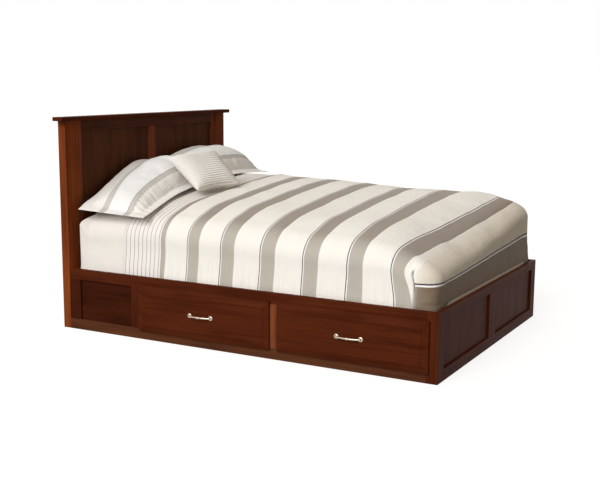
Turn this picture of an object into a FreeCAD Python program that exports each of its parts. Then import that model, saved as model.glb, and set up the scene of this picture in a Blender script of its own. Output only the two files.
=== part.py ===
import FreeCAD, Part
import Sketcher
import math
import os
import re

# Storage bed: a panel headboard, a platform frame with four drawers, and the bedding on it.
# Millimetres. X runs across the bed, +Y to the headboard, +Z up from the floor.
# The origin is on the floor, in the middle of the bed.

doc = FreeCAD.newDocument("storage_bed")
sheet = doc.addObject("Spreadsheet::Sheet", "sizes")

SIZES = [
    # The whole frame
    ("bed_width", 1590, "outside of one side rail to the outside of the other"),
    ("bed_length", 2225, "foot face to the back of the headboard"),
    ("rail_height", 340, "floor to the top of the side rails"),
    ("headboard_height", 1172, "floor to the top of the headboard cap"),
    ("board_thickness", 22, "face frame boards of the sides and the foot"),
    ("edge_round", 1.2, "eased edges of every solid board"),
    ("cut_overrun", 5, "how far a cutting tool runs past the wood"),
    # Side and foot face frames
    ("bottom_rail_height", 57, "height of the bottom rails"),
    ("top_rail_height", 57, "height of the side top rails"),
    ("foot_top_rail_height", 47, "height of the footboard top rail"),
    ("corner_leg_length", 57, "corner post, its width along the side"),
    ("corner_leg_width", 79, "corner post, its width across the foot"),
    ("divider_width", 69, "stile between the two drawers"),
    ("panel_stile_width", 68, "stile between drawer and fixed panel"),
    ("side_panel_width", 350, "fixed side panel, between its stiles"),
    ("head_stile_width", 75, "stile beside the headboard post"),
    ("foot_stile_width", 110, "stile in the middle of the footboard"),
    ("panel_recess", 10, "side and foot panels lie this far behind the frame"),
    ("panel_thickness", 9, "plywood panels"),
    ("groove_depth", 8, "how far a panel runs into its groove"),
    ("groove_clearance", 0.15, "play at each face of a panel in its groove"),
    ("groove_room", 1, "space at the bottom of a panel groove"),
    # Headboard
    ("post_width", 96, "headboard posts, across the bed"),
    ("post_depth", 50, "headboard posts, along the bed"),
    ("cap_thickness", 22, "board on top of the headboard"),
    ("cap_side_overhang", 44, "cap past the posts at each side"),
    ("cap_front_overhang", 20, "cap past the front of the posts"),
    ("cap_round", 4, "rounded edges of the cap"),
    ("frame_setback", 8, "headboard frame behind the front of the posts"),
    ("head_frame_thickness", 28, "headboard stiles and rails"),
    ("side_stile_width", 45, "headboard stiles beside the posts"),
    ("centre_stile_width", 60, "headboard stile between the panels"),
    ("head_top_rail_height", 57, "headboard rail under the cap"),
    ("head_low_rail_bottom", 150, "floor to the underside of the lower rail"),
    ("head_low_rail_height", 250, "headboard lower rail"),
    ("head_panel_recess", 15, "headboard panels behind their frame"),
    # Inside the platform
    ("partition_thickness", 18, "boards across the bed that carry deck and slides"),
    ("spacer_width", 60, "blocks inside the middle partition"),
    ("deck_thickness", 18, "plywood under the mattress"),
    ("deck_clearance", 0.5, "play between the deck and the rails"),
    ("cleat_height", 30, "cleats under the head end of the deck"),
    ("cleat_thickness", 20, "the same cleats"),
    # Bolts between the side rails and the headboard posts
    ("bolt_diameter", 8, "shank of a bed bolt"),
    ("bolt_reach", 60, "bolt inside the end of a rail"),
    ("bolt_head_diameter", 13, "round head of a bed bolt"),
    ("bolt_head_height", 5, "the same head"),
    ("bolt_sink", 8, "depth of the counterbore in the post"),
    ("bolt_clearance", 0.25, "play round a bolt"),
    # Drawers
    ("front_gap", 1, "drawer front to the face frame when shut"),
    ("front_overlay", 13, "drawer front past its opening at each end"),
    ("front_overlay_low", 10, "drawer front below its opening"),
    ("front_overlay_high", 15, "drawer front above its opening"),
    ("front_edge", 10, "thickness of the front at its rim"),
    ("bevel_rise", 9, "height of the bevel that rises from the rim"),
    ("bevel_width", 34, "width of that bevel"),
    ("field_step", 2, "raised field above the bevel"),
    ("box_wall", 13, "drawer box sides, back and inner front"),
    ("box_depth", 560, "drawer box, front to back"),
    ("box_height", 195, "drawer box"),
    ("box_lift", 10, "drawer box above the bottom rail"),
    ("box_bottom_thickness", 6, "drawer bottom"),
    ("box_bottom_lift", 12, "drawer bottom above the lower edge of the box"),
    ("box_groove", 6, "how far the bottom runs into the walls"),
    # Drawer slides
    ("slide_length", 550, "each member of a slide"),
    ("slide_setback", 5, "slide behind the inside of the face frame"),
    ("slide_height", 45, "outer member"),
    ("slide_thickness", 12.7, "whole slide, cabinet to drawer"),
    ("slide_steel", 1.2, "sheet that the members are bent from"),
    ("slide_play", 0.3, "gap between the flanges of two members"),
    ("slide_web_gap", 0.8, "gap between the webs of outer and middle members"),
    ("outer_flange", 9.5, "depth of the outer member"),
    ("middle_depth", 8.5, "depth of the middle member"),
    ("inner_depth", 8.5, "depth of the inner member"),
    # Drawer pulls
    ("pull_centres", 128, "between the two feet of a pull"),
    ("pull_foot_diameter", 24, "flared foot at the drawer front"),
    ("pull_foot_rim", 2.5, "thickness of the foot at its rim"),
    ("pull_neck_diameter", 9, "narrow part of the foot"),
    ("pull_neck_height", 11, "drawer front to the middle of the bar at a foot"),
    ("pull_bar_diameter", 8.5, "the bar"),
    ("pull_rise", 24, "drawer front to the middle of the bar at its middle"),
    ("pull_bead_diameter", 13, "round bead in the middle of the bar"),
    ("pull_ring_diameter", 11, "thin ring at each side of the bead"),
    ("pull_ring_width", 2, "the same ring"),
    ("screw_diameter", 4, "screw of a pull"),
    ("screw_bite", 7, "screw inside the foot of a pull"),
    ("screw_head_diameter", 8, "the same screw, inside the drawer"),
    ("screw_head_height", 2.5, "the same head"),
    ("screw_clearance", 0.2, "play round a screw"),
    # Bedding
    ("bedding_clearance", 5, "bedding to the inside of the frame"),
    ("seat_clearance", 0.3, "soft piece to what it rests on"),
    ("comforter_thickness", 12, "quilted comforter"),
    ("blanket_thickness", 3, "pinstripe blanket"),
    ("tuck_height", 4, "lower edge of the covers above the deck"),
    ("crown_top", 792, "highest line of the bedding above the floor"),
    ("crown_shift", 300, "that line off the middle, as the bed was made"),
    ("crown_radius", 3300, "crown across the bed"),
    ("side_shoulder", 130, "round shoulder along each side"),
    ("lengthwise_rise", 5, "lengthwise crown above the crosswise one"),
    ("lengthwise_radius", 16000, "crown along the bed"),
    ("lengthwise_crest", 625, "top of that crown, from the head end"),
    ("foot_shoulder", 260, "round shoulder at the foot"),
    ("foot_corner_radius", 70, "bedding corners seen from above"),
    ("corner_outset", 1, "those corner arcs end this far outside the straight sides"),
    ("comforter_edge", 642, "head edge of the comforter, from the head end"),
    ("blanket_edge", 388, "head edge of the blanket, from the head end"),
    ("mattress_end", 75, "head end of the mattress, from the head end of the frame"),
    ("mattress_head_round", 55, "rounded edge at the head end of the mattress"),
    ("pleat_from_foot", 110, "corner fold of the comforter, from its foot face"),
    ("pleat_width", 12, "that fold"),
    ("pleat_depth", 6, "the same fold"),
    ("pleat_top", 515, "the same fold, above the floor"),
    # Pillow shams
    ("sham_outer", 775, "outer end of a sham, from the middle"),
    ("sham_inner", 6, "inner end of a sham, from the middle"),
    ("sham_back", 65, "back edge of the shams, from the head end"),
    ("sham_drop", 100, "belly of a sham under its back to front line"),
    ("left_sham_front", 546, "front corner of the left sham, from the head end"),
    ("left_sham_skew", 110, "how far its front edge runs back to the middle"),
    ("left_sham_front_low", 652, "its front corner above the floor"),
    ("left_sham_front_high", 772, "its front edge in the middle of the bed"),
    ("left_sham_back_low", 668, "its back corner above the floor"),
    ("left_sham_back_high", 897, "its highest back edge"),
    ("left_sham_rise", 82, "crown of the left sham over its back to front line"),
    ("right_sham_front", 413, "front corner of the right sham, from the head end"),
    ("right_sham_skew", 18, "how far its front edge comes forward to the middle"),
    ("right_sham_front_low", 770, "its front corner above the floor"),
    ("right_sham_front_high", 790, "its front edge in the middle of the bed"),
    ("right_sham_back_low", 770, "its back corner above the floor"),
    ("right_sham_back_high", 945, "its highest back edge"),
    ("right_sham_rise", 72, "crown of the right sham"),
    # Accent cushion
    ("cushion_side", 312, "square cushion, seam to seam"),
    ("cushion_thickness", 115, "its crown, both sides together"),
    ("cushion_draw", 16, "how far its sides draw in between the corners"),
    ("cushion_x", -165, "its middle, across"),
    ("cushion_from_head", 535, "its middle, from the head end"),
    ("cushion_lift", 57, "its middle, above the highest line of the bedding"),
]

for row, (name, value, note) in enumerate(SIZES, start=1):
    sheet.set("A%d" % row, name)
    sheet.set("B%d" % row, str(value))
    sheet.setAlias("B%d" % row, name)
    sheet.set("C%d" % row, note)
doc.recompute()

NAMES = [name for name, value, note in SIZES]
size = {name: float(sheet.get(name)) for name in NAMES}

LEFT = -1
RIGHT = 1
SIDE_NAMES = {LEFT: "left", RIGHT: "right"}
AXES = ("x", "y", "z")
FULL_TURN = 360
QUARTER_TURN = 90
HALF_TURN = 180

pieces = []


def bound(text):
    """An expression of size names, each written as a cell of the sheet."""
    return re.sub(r"[a-z][a-z_]+", lambda found: "sizes." + found.group(0), text)


def keep(thing, label):
    """The finished object of a sub-part takes the sub-part's name."""
    thing.Label = label
    pieces.append(thing)
    return thing


def pair(side, inner, outer):
    """Low and high X of something that lies between two distances from the middle."""
    if side == LEFT:
        return ("-(%s)" % outer, "-(%s)" % inner)
    return (inner, outer)


def block(name, x, y, z):
    """A plain box between pairs of expressions."""
    box = doc.addObject("Part::Box", name)
    for side, axis, (low, high) in zip(("Length", "Width", "Height"), AXES, (x, y, z)):
        box.setExpression(side, bound("(%s) - (%s)" % (high, low)))
        box.setExpression("Placement.Base." + axis, bound(low))
    return box


def eased(solid, radius):
    """All the edges of a box, rounded."""
    doc.recompute()
    fillet = doc.addObject("Part::Fillet", solid.Name + "_eased")
    fillet.Base = solid
    fillet.Edges = [(index + 1, radius, radius) for index in range(len(solid.Shape.Edges))]
    return fillet


def board(name, x, y, z):
    """A solid board with eased edges."""
    return eased(block(name, x, y, z), size["edge_round"])


def group(name, things):
    """Several separate solids in one object."""
    compound = doc.addObject("Part::Compound", name)
    compound.Links = things
    return compound


def cut(name, base, tools):
    """The base with all the tools taken away."""
    result = doc.addObject("Part::Cut", name)
    result.Base = base
    result.Tool = tools[0] if len(tools) == 1 else group(name + "_tools", tools)
    return result


def cylinder(name, diameter, length, x, y, z, axis, turn):
    """A round bar from a point, turned from +Z about an axis."""
    bar = doc.addObject("Part::Cylinder", name)
    bar.Placement = FreeCAD.Placement(FreeCAD.Vector(), FreeCAD.Rotation(axis, turn))
    bar.setExpression("Radius", bound("(%s) / 2" % diameter))
    bar.setExpression("Height", bound(length))
    for key, place in zip(AXES, (x, y, z)):
        bar.setExpression("Placement.Base." + key, bound(place))
    return bar


def grown(low, high, by):
    """A pair of expressions moved apart at both ends."""
    return ("(%s) - (%s)" % (low, by), "(%s) + (%s)" % (high, by))


# Places that the sub-parts share, each in terms of the sizes
FOOT = "-bed_length / 2"
HEAD = "bed_length / 2"
SIDE = "bed_width / 2"
INNER = "(bed_width / 2 - board_thickness)"
# What the length leaves for each of the two drawer openings of a side
DRAWER_BAY = ("((bed_length - post_depth - corner_leg_length - divider_width - panel_stile_width"
              " - side_panel_width - head_stile_width) / 2)")
BAY_FOOT = ("(%s + corner_leg_length)" % FOOT, "(%s + corner_leg_length + %s)" % (FOOT, DRAWER_BAY))
BAY_HEAD = ("(%s + divider_width)" % BAY_FOOT[1], "(%s + divider_width + %s)" % (BAY_FOOT[1], DRAWER_BAY))
BAYS = {"head": BAY_HEAD, "foot": BAY_FOOT}
PANEL_START = "(%s + panel_stile_width)" % BAY_HEAD[1]
POST_FRONT = "(%s - post_depth)" % HEAD
PANEL_END = "(%s - head_stile_width)" % POST_FRONT
OPENING_LOW = "bottom_rail_height"
OPENING_HIGH = "(rail_height - top_rail_height)"
DECK_TOP = "(rail_height - top_rail_height + deck_thickness)"
FRAME_FRONT = "(%s + frame_setback)" % POST_FRONT
FRAME_BACK = "(%s + head_frame_thickness)" % FRAME_FRONT
POST_INNER = "(bed_width / 2 - post_width)"
POST_TOP = "(headboard_height - cap_thickness)"
STILE_INNER = "(%s - side_stile_width)" % POST_INNER
HEAD_OPENING = ("(head_low_rail_bottom + head_low_rail_height)", "(%s - head_top_rail_height)" % POST_TOP)
ALONG = (FreeCAD.Vector(1, 0, 0), -QUARTER_TURN)
BOLT_X = "(bed_width / 2 - board_thickness / 2)"
BOLT_HEIGHTS = ("(bottom_rail_height / 2)", "(rail_height - top_rail_height / 2)")


def panel_pair(name, x, y, z, long_sides, high_sides):
    """A panel whose edges run into grooves, and the tool that cuts those grooves."""
    panel = block(name, grown(*long_sides, "groove_depth") if x is None else x,
                  grown(*long_sides, "groove_depth") if y is None else y,
                  grown(*high_sides, "groove_depth"))
    deep = "groove_depth + groove_room"
    tool = block(name + "_groove",
                 grown(*long_sides, deep) if x is None else grown(*x, "groove_clearance"),
                 grown(*long_sides, deep) if y is None else grown(*y, "groove_clearance"),
                 grown(*high_sides, deep))
    return keep(panel, name), tool


def padded_outline(name, corners, height, low, radius):
    """A body padded up from an outline, its corners bound to the sheet, with rounded edges."""
    body = doc.addObject("PartDesign::Body", name + "_body")
    plane = [item for item in body.Origin.OriginFeatures if item.Role == "XY_Plane"][0]
    sketch = body.newObject("Sketcher::SketchObject", name + "_outline")
    sketch.AttachmentSupport = [(plane, "")]
    sketch.MapMode = "FlatFace"
    count = len(corners)
    reach = size["bed_width"] / 2
    turns = [2 * math.pi * index / count for index in range(count)]
    rough = [FreeCAD.Vector(reach * math.cos(turn), reach * math.sin(turn), 0) for turn in turns]
    for index in range(count):
        sketch.addGeometry(Part.LineSegment(rough[index], rough[(index + 1) % count]), False)
    for index in range(count):
        sketch.addConstraint(Sketcher.Constraint("Coincident", index, 2, (index + 1) % count, 1))
    for index, (x, y) in enumerate(corners):
        for kind, start, place in (("DistanceX", rough[index].x, x), ("DistanceY", rough[index].y, y)):
            row = sketch.addConstraint(Sketcher.Constraint(kind, -1, 1, index, 1, start))
            sketch.renameConstraint(row, "%s%d" % (kind, index))
            sketch.setExpression("Constraints.%s%d" % (kind, index), bound(place))
    pad = body.newObject("PartDesign::Pad", name + "_pad")
    pad.Profile = sketch
    pad.setExpression("Length", bound(height))
    body.setExpression("Placement.Base.z", bound(low))
    doc.recompute()
    rounding = body.newObject("PartDesign::Fillet", name + "_rounding")
    rounding.Base = (pad, ["Edge%d" % (index + 1) for index in range(len(pad.Shape.Edges))])
    rounding.setExpression("Radius", bound(radius))
    return keep(body, name)


def make_headboard():
    """Posts, cap, and the frame with its two panels."""
    cap_side = "(%s + cap_side_overhang)" % SIDE
    cap_front = "(%s - cap_front_overhang)" % POST_FRONT
    outline = [("-" + cap_side, cap_front), (cap_side, cap_front), (cap_side, HEAD), ("-" + cap_side, HEAD)]
    padded_outline("headboard_cap", outline, "cap_thickness", POST_TOP, "cap_round")

    thick = (FRAME_FRONT, FRAME_BACK)
    panel_front = "(%s + head_panel_recess)" % FRAME_FRONT
    panel_y = (panel_front, "(%s + panel_thickness)" % panel_front)
    grooves = []
    for side in (LEFT, RIGHT):
        across = pair(side, "(centre_stile_width / 2)", STILE_INNER)
        name = "headboard_panel_" + SIDE_NAMES[side]
        grooves.append(panel_pair(name, None, panel_y, None, across, HEAD_OPENING)[1])

        blank = board("headboard_post_blank_" + SIDE_NAMES[side], pair(side, POST_INNER, SIDE),
                      (POST_FRONT, HEAD), ("0", POST_TOP))
        name = "headboard_post_" + SIDE_NAMES[side]
        keep(cut(name, blank, bolt_holes(side)), name)

    stile_z = ("head_low_rail_bottom", POST_TOP)
    stiles = [board("headboard_side_stile_" + SIDE_NAMES[side], pair(side, STILE_INNER, POST_INNER),
                    thick, stile_z) for side in (LEFT, RIGHT)]
    stiles = [cut("headboard_side_stile_cut_" + SIDE_NAMES[side], stile, [groove])
              for side, stile, groove in zip((LEFT, RIGHT), stiles, grooves)]
    keep(group("headboard_side_stiles", stiles), "headboard_side_stiles")

    between = ("-" + STILE_INNER, STILE_INNER)
    middle = ("-(centre_stile_width / 2)", "(centre_stile_width / 2)")
    members = (("headboard_top_rail", between, (HEAD_OPENING[1], POST_TOP)),
               ("headboard_bottom_rail", between, ("head_low_rail_bottom", HEAD_OPENING[0])),
               ("headboard_centre_stile", middle, HEAD_OPENING))
    for name, x, z in members:
        keep(cut(name, board(name + "_blank", x, thick, z), grooves), name)


def bolt_holes(side):
    """Clearance holes and counterbores of the two bed bolts at one side."""
    x = BOLT_X if side == RIGHT else "-" + BOLT_X
    tools = []
    for number, z in enumerate(BOLT_HEIGHTS):
        name = "bolt_hole_%s_%d" % (SIDE_NAMES[side], number)
        reach = "post_depth + bolt_reach + bolt_clearance"
        tools.append(cylinder(name, "bolt_diameter + 2 * bolt_clearance", reach,
                              x, "%s - bolt_reach - bolt_clearance" % POST_FRONT, z, *ALONG))
        tools.append(cylinder(name + "_sink", "bolt_head_diameter + 2 * bolt_clearance",
                              "bolt_sink + cut_overrun", x, "%s - bolt_sink" % HEAD, z, *ALONG))
    return tools


def make_bolts():
    """Four bed bolts: shank and head of each as one solid."""
    bolts = []
    for side in (LEFT, RIGHT):
        x = BOLT_X if side == RIGHT else "-" + BOLT_X
        for number, z in enumerate(BOLT_HEIGHTS):
            name = "bed_bolt_%s_%d" % (SIDE_NAMES[side], number)
            shank = cylinder(name + "_shank", "bolt_diameter", "post_depth - bolt_sink + bolt_reach",
                             x, "%s - bolt_reach" % POST_FRONT, z, *ALONG)
            round_head = cylinder(name + "_head", "bolt_head_diameter", "bolt_head_height",
                                  x, "%s - bolt_sink" % HEAD, z, *ALONG)
            bolt = doc.addObject("Part::MultiFuse", name)
            bolt.Shapes = [shank, round_head]
            bolts.append(bolt)
    keep(group("bed_bolts", bolts), "bed_bolts")


def make_footboard():
    """Two corner posts, the rails and stile between them, and two panels."""
    front, back = FOOT, "(%s + board_thickness)" % FOOT
    post_side = "(%s - corner_leg_width)" % SIDE
    post_end = BAY_FOOT[0]
    for side in (LEFT, RIGHT):
        corners = [(SIDE, front), (post_side, front), (post_side, back),
                   (INNER, back), (INNER, post_end), (SIDE, post_end)]
        if side == LEFT:
            corners = [("-(%s)" % x, y) for x, y in corners]
        padded_outline("corner_post_" + SIDE_NAMES[side], corners, "rail_height", "0", "edge_round")

    panel_front = "(%s + panel_recess)" % FOOT
    panel_y = (panel_front, "(%s + panel_thickness)" % panel_front)
    opening = (OPENING_LOW, "(rail_height - foot_top_rail_height)")
    grooves = []
    for side in (LEFT, RIGHT):
        across = pair(side, "(foot_stile_width / 2)", post_side)
        grooves.append(foot_panel("footboard_panel_" + SIDE_NAMES[side], side, across, panel_y, opening))

    between = ("-" + post_side, post_side)
    middle = ("-(foot_stile_width / 2)", "(foot_stile_width / 2)")
    members = (("footboard_top_rail", between, (opening[1], "rail_height")),
               ("footboard_bottom_rail", between, ("0", OPENING_LOW)),
               ("footboard_centre_stile", middle, opening))
    for name, x, z in members:
        keep(cut(name, board(name + "_blank", x, (front, back), z), grooves), name)


def foot_panel(name, side, across, panel_y, opening):
    """A footboard panel: grooved into rails and stile, and butted to the corner post."""
    def run(into):
        low, high = across
        if side == LEFT:
            return low, "(%s) + (%s)" % (high, into)
        return "(%s) - (%s)" % (low, into), high

    keep(block(name, run("groove_depth"), panel_y, grown(*opening, "groove_depth")), name)
    deep = "groove_depth + groove_room"
    return block(name + "_groove", run(deep), grown(*panel_y, "groove_clearance"), grown(*opening, deep))


def make_side(side):
    """The face frame of one side: rails, stiles and the fixed panel near the headboard."""
    name = "side_%s_" % SIDE_NAMES[side]
    thick = pair(side, INNER, SIDE)
    panel_x = pair(side, "(%s - panel_recess - panel_thickness)" % SIDE, "(%s - panel_recess)" % SIDE)
    groove = panel_pair(name + "panel", panel_x, None, None, (PANEL_START, PANEL_END),
                        (OPENING_LOW, OPENING_HIGH))[1]
    whole = (BAY_FOOT[0], POST_FRONT)
    opening = (OPENING_LOW, OPENING_HIGH)
    members = (("top_rail", whole, (OPENING_HIGH, "rail_height"), [groove] + bolt_tools(side)),
               ("bottom_rail", whole, ("0", OPENING_LOW), [groove] + bolt_tools(side)),
               ("head_stile", (PANEL_END, POST_FRONT), opening, [groove]),
               ("panel_stile", (BAY_HEAD[1], PANEL_START), opening, [groove]))
    for member, y, z, tools in members:
        keep(cut(name + member, board(name + member + "_blank", thick, y, z), tools), name + member)
    divider = board(name + "divider_blank", thick, (BAY_FOOT[1], BAY_HEAD[0]), opening)
    keep(divider, name + "divider_stile")


def bolt_tools(side):
    """The bolt holes of one side that were made with the headboard posts."""
    start = "bolt_hole_" + SIDE_NAMES[side]
    return [item for item in doc.Objects if item.Name.startswith(start)]


def make_platform():
    """Partitions across the bed, the deck on them, and the cleats at its head end."""
    across = ("-" + INNER, INNER)
    height = ("0", OPENING_HIGH)
    foot_y = ("(%s - partition_thickness)" % BAY_FOOT[0], BAY_FOOT[0])
    head_y = (BAY_HEAD[1], "(%s + partition_thickness)" % BAY_HEAD[1])
    keep(block("partition_foot", across, foot_y, height), "partition_foot")
    keep(block("partition_head", across, head_y, height), "partition_head")

    low_y = (BAY_FOOT[1], "(%s + partition_thickness)" % BAY_FOOT[1])
    high_y = ("(%s - partition_thickness)" % BAY_HEAD[0], BAY_HEAD[0])
    layers = [block("partition_middle_low", across, low_y, height),
              block("partition_middle_high", across, high_y, height)]
    half = "(spacer_width / 2)"
    middles = ("-(%s - %s)" % (INNER, half), "0", "(%s - %s)" % (INNER, half))
    for number, middle in enumerate(middles):
        spacer_x = grown(middle, middle, half)
        layers.append(block("partition_spacer_%d" % number, spacer_x, (low_y[1], high_y[0]), height))
    keep(group("partition_middle", layers), "partition_middle")

    deck_z = (OPENING_HIGH, DECK_TOP)
    deck_x = ("-(%s - deck_clearance)" % INNER, "(%s - deck_clearance)" % INNER)
    joint_low = "((%s) + divider_width / 2)" % BAY_FOOT[1]
    joint_high = "((%s) + partition_thickness / 2)" % BAY_HEAD[1]
    ends = ("(%s + board_thickness + deck_clearance)" % FOOT, joint_low, joint_high,
            "(%s - deck_clearance)" % POST_FRONT)
    deck = [block("deck_board_%d" % number, deck_x, run, deck_z)
            for number, run in enumerate(zip(ends, ends[1:]))]
    cleat_z = ("(%s - cleat_height)" % OPENING_HIGH, OPENING_HIGH)
    for side in (LEFT, RIGHT):
        cleat_x = pair(side, "(%s - cleat_thickness)" % INNER, INNER)
        deck.append(block("deck_cleat_" + SIDE_NAMES[side], cleat_x, (head_y[1], POST_FRONT), cleat_z))
    cleat_y = ("(%s - cleat_thickness)" % FRAME_FRONT, FRAME_FRONT)
    deck.append(block("deck_cleat_head", ("-" + STILE_INNER, STILE_INNER), cleat_y, cleat_z))
    keep(group("mattress_deck", deck), "mattress_deck")


def channel(name, x, web, opening, z, direction):
    """A slide member: sheet steel bent to a channel, open along Y in the given direction.

    web is where its back lies, opening where its flanges end, both as expressions.
    """
    low, high = (web, opening) if direction > 0 else (opening, web)
    inside = "slide_steel"
    whole = block(name + "_strip", x, (low, high), z)
    if direction > 0:
        hollow_y = ("%s + %s" % (low, inside), "%s + cut_overrun" % high)
    else:
        hollow_y = ("%s - cut_overrun" % low, "%s - %s" % (high, inside))
    hollow = block(name + "_hollow", grown(*x, "cut_overrun"), hollow_y,
                   ("%s + %s" % (z[0], inside), "%s - %s" % (z[1], inside)))
    return cut(name, whole, [hollow])


def drawer_places(bay):
    """Y of a drawer's box and front, and the Z that they share."""
    low, high = BAYS[bay]
    box_y = ("(%s + slide_thickness)" % low, "(%s - slide_thickness)" % high)
    front_y = ("(%s - front_overlay)" % low, "(%s + front_overlay)" % high)
    box_low = "(%s + box_lift)" % OPENING_LOW
    return box_y, front_y, (box_low, "(%s + box_height)" % box_low)


def make_slides():
    """Telescopic slides: outer members on the partitions, inner ones on the drawers."""
    outer = []
    for side in (LEFT, RIGHT):
        x = pair(side, "(%s - slide_setback - slide_length)" % INNER, "(%s - slide_setback)" % INNER)
        for bay, (low, high) in BAYS.items():
            middle, inner = [], []
            box_z = drawer_places(bay)[2]
            centre = "((%s + %s) / 2)" % box_z
            key = "%s_%s" % (SIDE_NAMES[side], bay)
            for end, face, way in (("low", low, 1), ("high", high, -1)):
                sign = "+" if way > 0 else "-"
                step = "(slide_steel + slide_play)"
                halves = ["(slide_height / 2 - %d * %s)" % (layer, step) for layer in range(3)]
                heights = [("(%s - %s)" % (centre, half), "(%s + %s)" % (centre, half)) for half in halves]
                middle_web = "(%s %s (slide_steel + slide_web_gap))" % (face, sign)
                inner_web = "(%s %s slide_thickness)" % (face, sign)
                label = "%s_%s" % (key, end)
                back = "-" if way > 0 else "+"
                outer.append(channel("slide_outer_" + label, x, face,
                                     "(%s %s outer_flange)" % (face, sign), heights[0], way))
                middle.append(channel("slide_middle_part_" + label, x, middle_web,
                                      "(%s %s middle_depth)" % (middle_web, sign), heights[1], way))
                inner.append(channel("slide_inner_part_" + label, x, inner_web,
                                     "(%s %s inner_depth)" % (inner_web, back), heights[2], -way))
            keep(group("slide_middle_" + key, middle), "slide_middle_" + key)
            keep(group("slide_inner_" + key, inner), "slide_inner_" + key)
    keep(group("slide_outer_members", outer), "slide_outer_members")


def make_drawer(side, bay):
    """One drawer: its bevelled front, the box behind it and the screw holes for the pull."""
    key = "%s_%s" % (SIDE_NAMES[side], bay)
    box_y, front_y, box_z = drawer_places(bay)
    front_back = "(%s + front_gap)" % SIDE
    front_z = ("(%s - front_overlay_low)" % OPENING_LOW, "(%s + front_overlay_high)" % OPENING_HIGH)
    holes = pull_holes(side, front_y, front_z, key)

    rim = block("front_rim_" + key, pair(side, front_back, "(%s + front_edge)" % front_back),
                front_y, front_z)
    bevel = doc.addObject("Part::Wedge", "front_bevel_" + key)
    length = "((%s) - (%s))" % (front_y[1], front_y[0])
    height = "((%s) - (%s))" % (front_z[1], front_z[0])
    wedge = {"Xmin": "-%s / 2" % length, "Xmax": "%s / 2" % length,
             "X2min": "-%s / 2 + bevel_width" % length, "X2max": "%s / 2 - bevel_width" % length,
             "Ymin": "0", "Ymax": "bevel_rise", "Zmin": "0", "Zmax": height,
             "Z2min": "bevel_width", "Z2max": "%s - bevel_width" % height}
    for prop, text in wedge.items():
        bevel.setExpression(prop, bound(text))
    turn = FreeCAD.Rotation(FreeCAD.Vector(0, 0, 1), -side * QUARTER_TURN)
    bevel.Placement = FreeCAD.Placement(FreeCAD.Vector(), turn)
    sign = "-" if side == LEFT else ""
    places = ("%s(%s + front_edge)" % (sign, front_back), "((%s) + (%s)) / 2" % front_y, front_z[0])
    for axis, place in zip(AXES, places):
        bevel.setExpression("Placement.Base." + axis, bound(place))
    field_base = "(%s + front_edge + bevel_rise)" % front_back
    field = block("front_field_" + key, pair(side, field_base, "(%s + field_step)" % field_base),
                  grown(*front_y, "-bevel_width"), grown(*front_z, "-bevel_width"))
    whole = doc.addObject("Part::MultiFuse", "front_whole_" + key)
    whole.Shapes = [rim, bevel, field]
    whole.Refine = True
    keep(cut("drawer_front_" + key, whole, holes), "drawer_front_" + key)

    back_x = "(%s - box_depth)" % front_back
    run_x = pair(side, back_x, front_back)
    walls = {"low_side": (run_x, (box_y[0], "%s + box_wall" % box_y[0])),
             "high_side": (run_x, ("%s - box_wall" % box_y[1], box_y[1]))}
    between = ("(%s + box_wall)" % box_y[0], "(%s - box_wall)" % box_y[1])
    walls["back"] = (pair(side, back_x, "(%s + box_wall)" % back_x), between)
    walls["inner_front"] = (pair(side, "(%s - box_wall)" % front_back, front_back), between)
    bottom_low = "(%s + box_bottom_lift)" % box_z[0]
    bottom_z = (bottom_low, "(%s + box_bottom_thickness)" % bottom_low)
    inside_x = pair(side, "(%s + box_wall)" % back_x, "(%s - box_wall)" % front_back)
    bottom = block("box_bottom_" + key, grown(*inside_x, "box_groove"), grown(*between, "box_groove"),
                   bottom_z)
    deep = "(box_groove + groove_clearance)"
    groove = block("box_groove_" + key, grown(*inside_x, deep), grown(*between, deep),
                   grown(*bottom_z, "groove_clearance"))
    solids = [bottom]
    for wall, (x, y) in walls.items():
        tools = [groove] + (holes if wall == "inner_front" else [])
        solids.append(cut("box_%s_%s" % (wall, key), block("box_%s_blank_%s" % (wall, key), x, y, box_z),
                          tools))
    keep(group("drawer_box_" + key, solids), "drawer_box_" + key)
    make_pull(side, "(%s + field_step)" % field_base, front_y, front_z, key)


def pull_holes(side, front_y, front_z, key):
    """Clearance holes for the two screws of a pull, through front and box."""
    tools = []
    middle = "(((%s) + (%s)) / 2)" % front_y
    height = "((%s + %s) / 2)" % front_z
    start = "(%s + front_gap - box_wall - cut_overrun)" % SIDE
    reach = "box_wall + front_edge + bevel_rise + field_step + 2 * cut_overrun"
    for number, sign in enumerate(("-", "+")):
        x = start if side == RIGHT else "-" + start
        y = "%s %s pull_centres / 2" % (middle, sign)
        tools.append(cylinder("pull_hole_%s_%d" % (key, number), "screw_diameter + 2 * screw_clearance",
                              reach, x, y, height, FreeCAD.Vector(0, 1, 0), side * QUARTER_TURN))
    return tools


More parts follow.
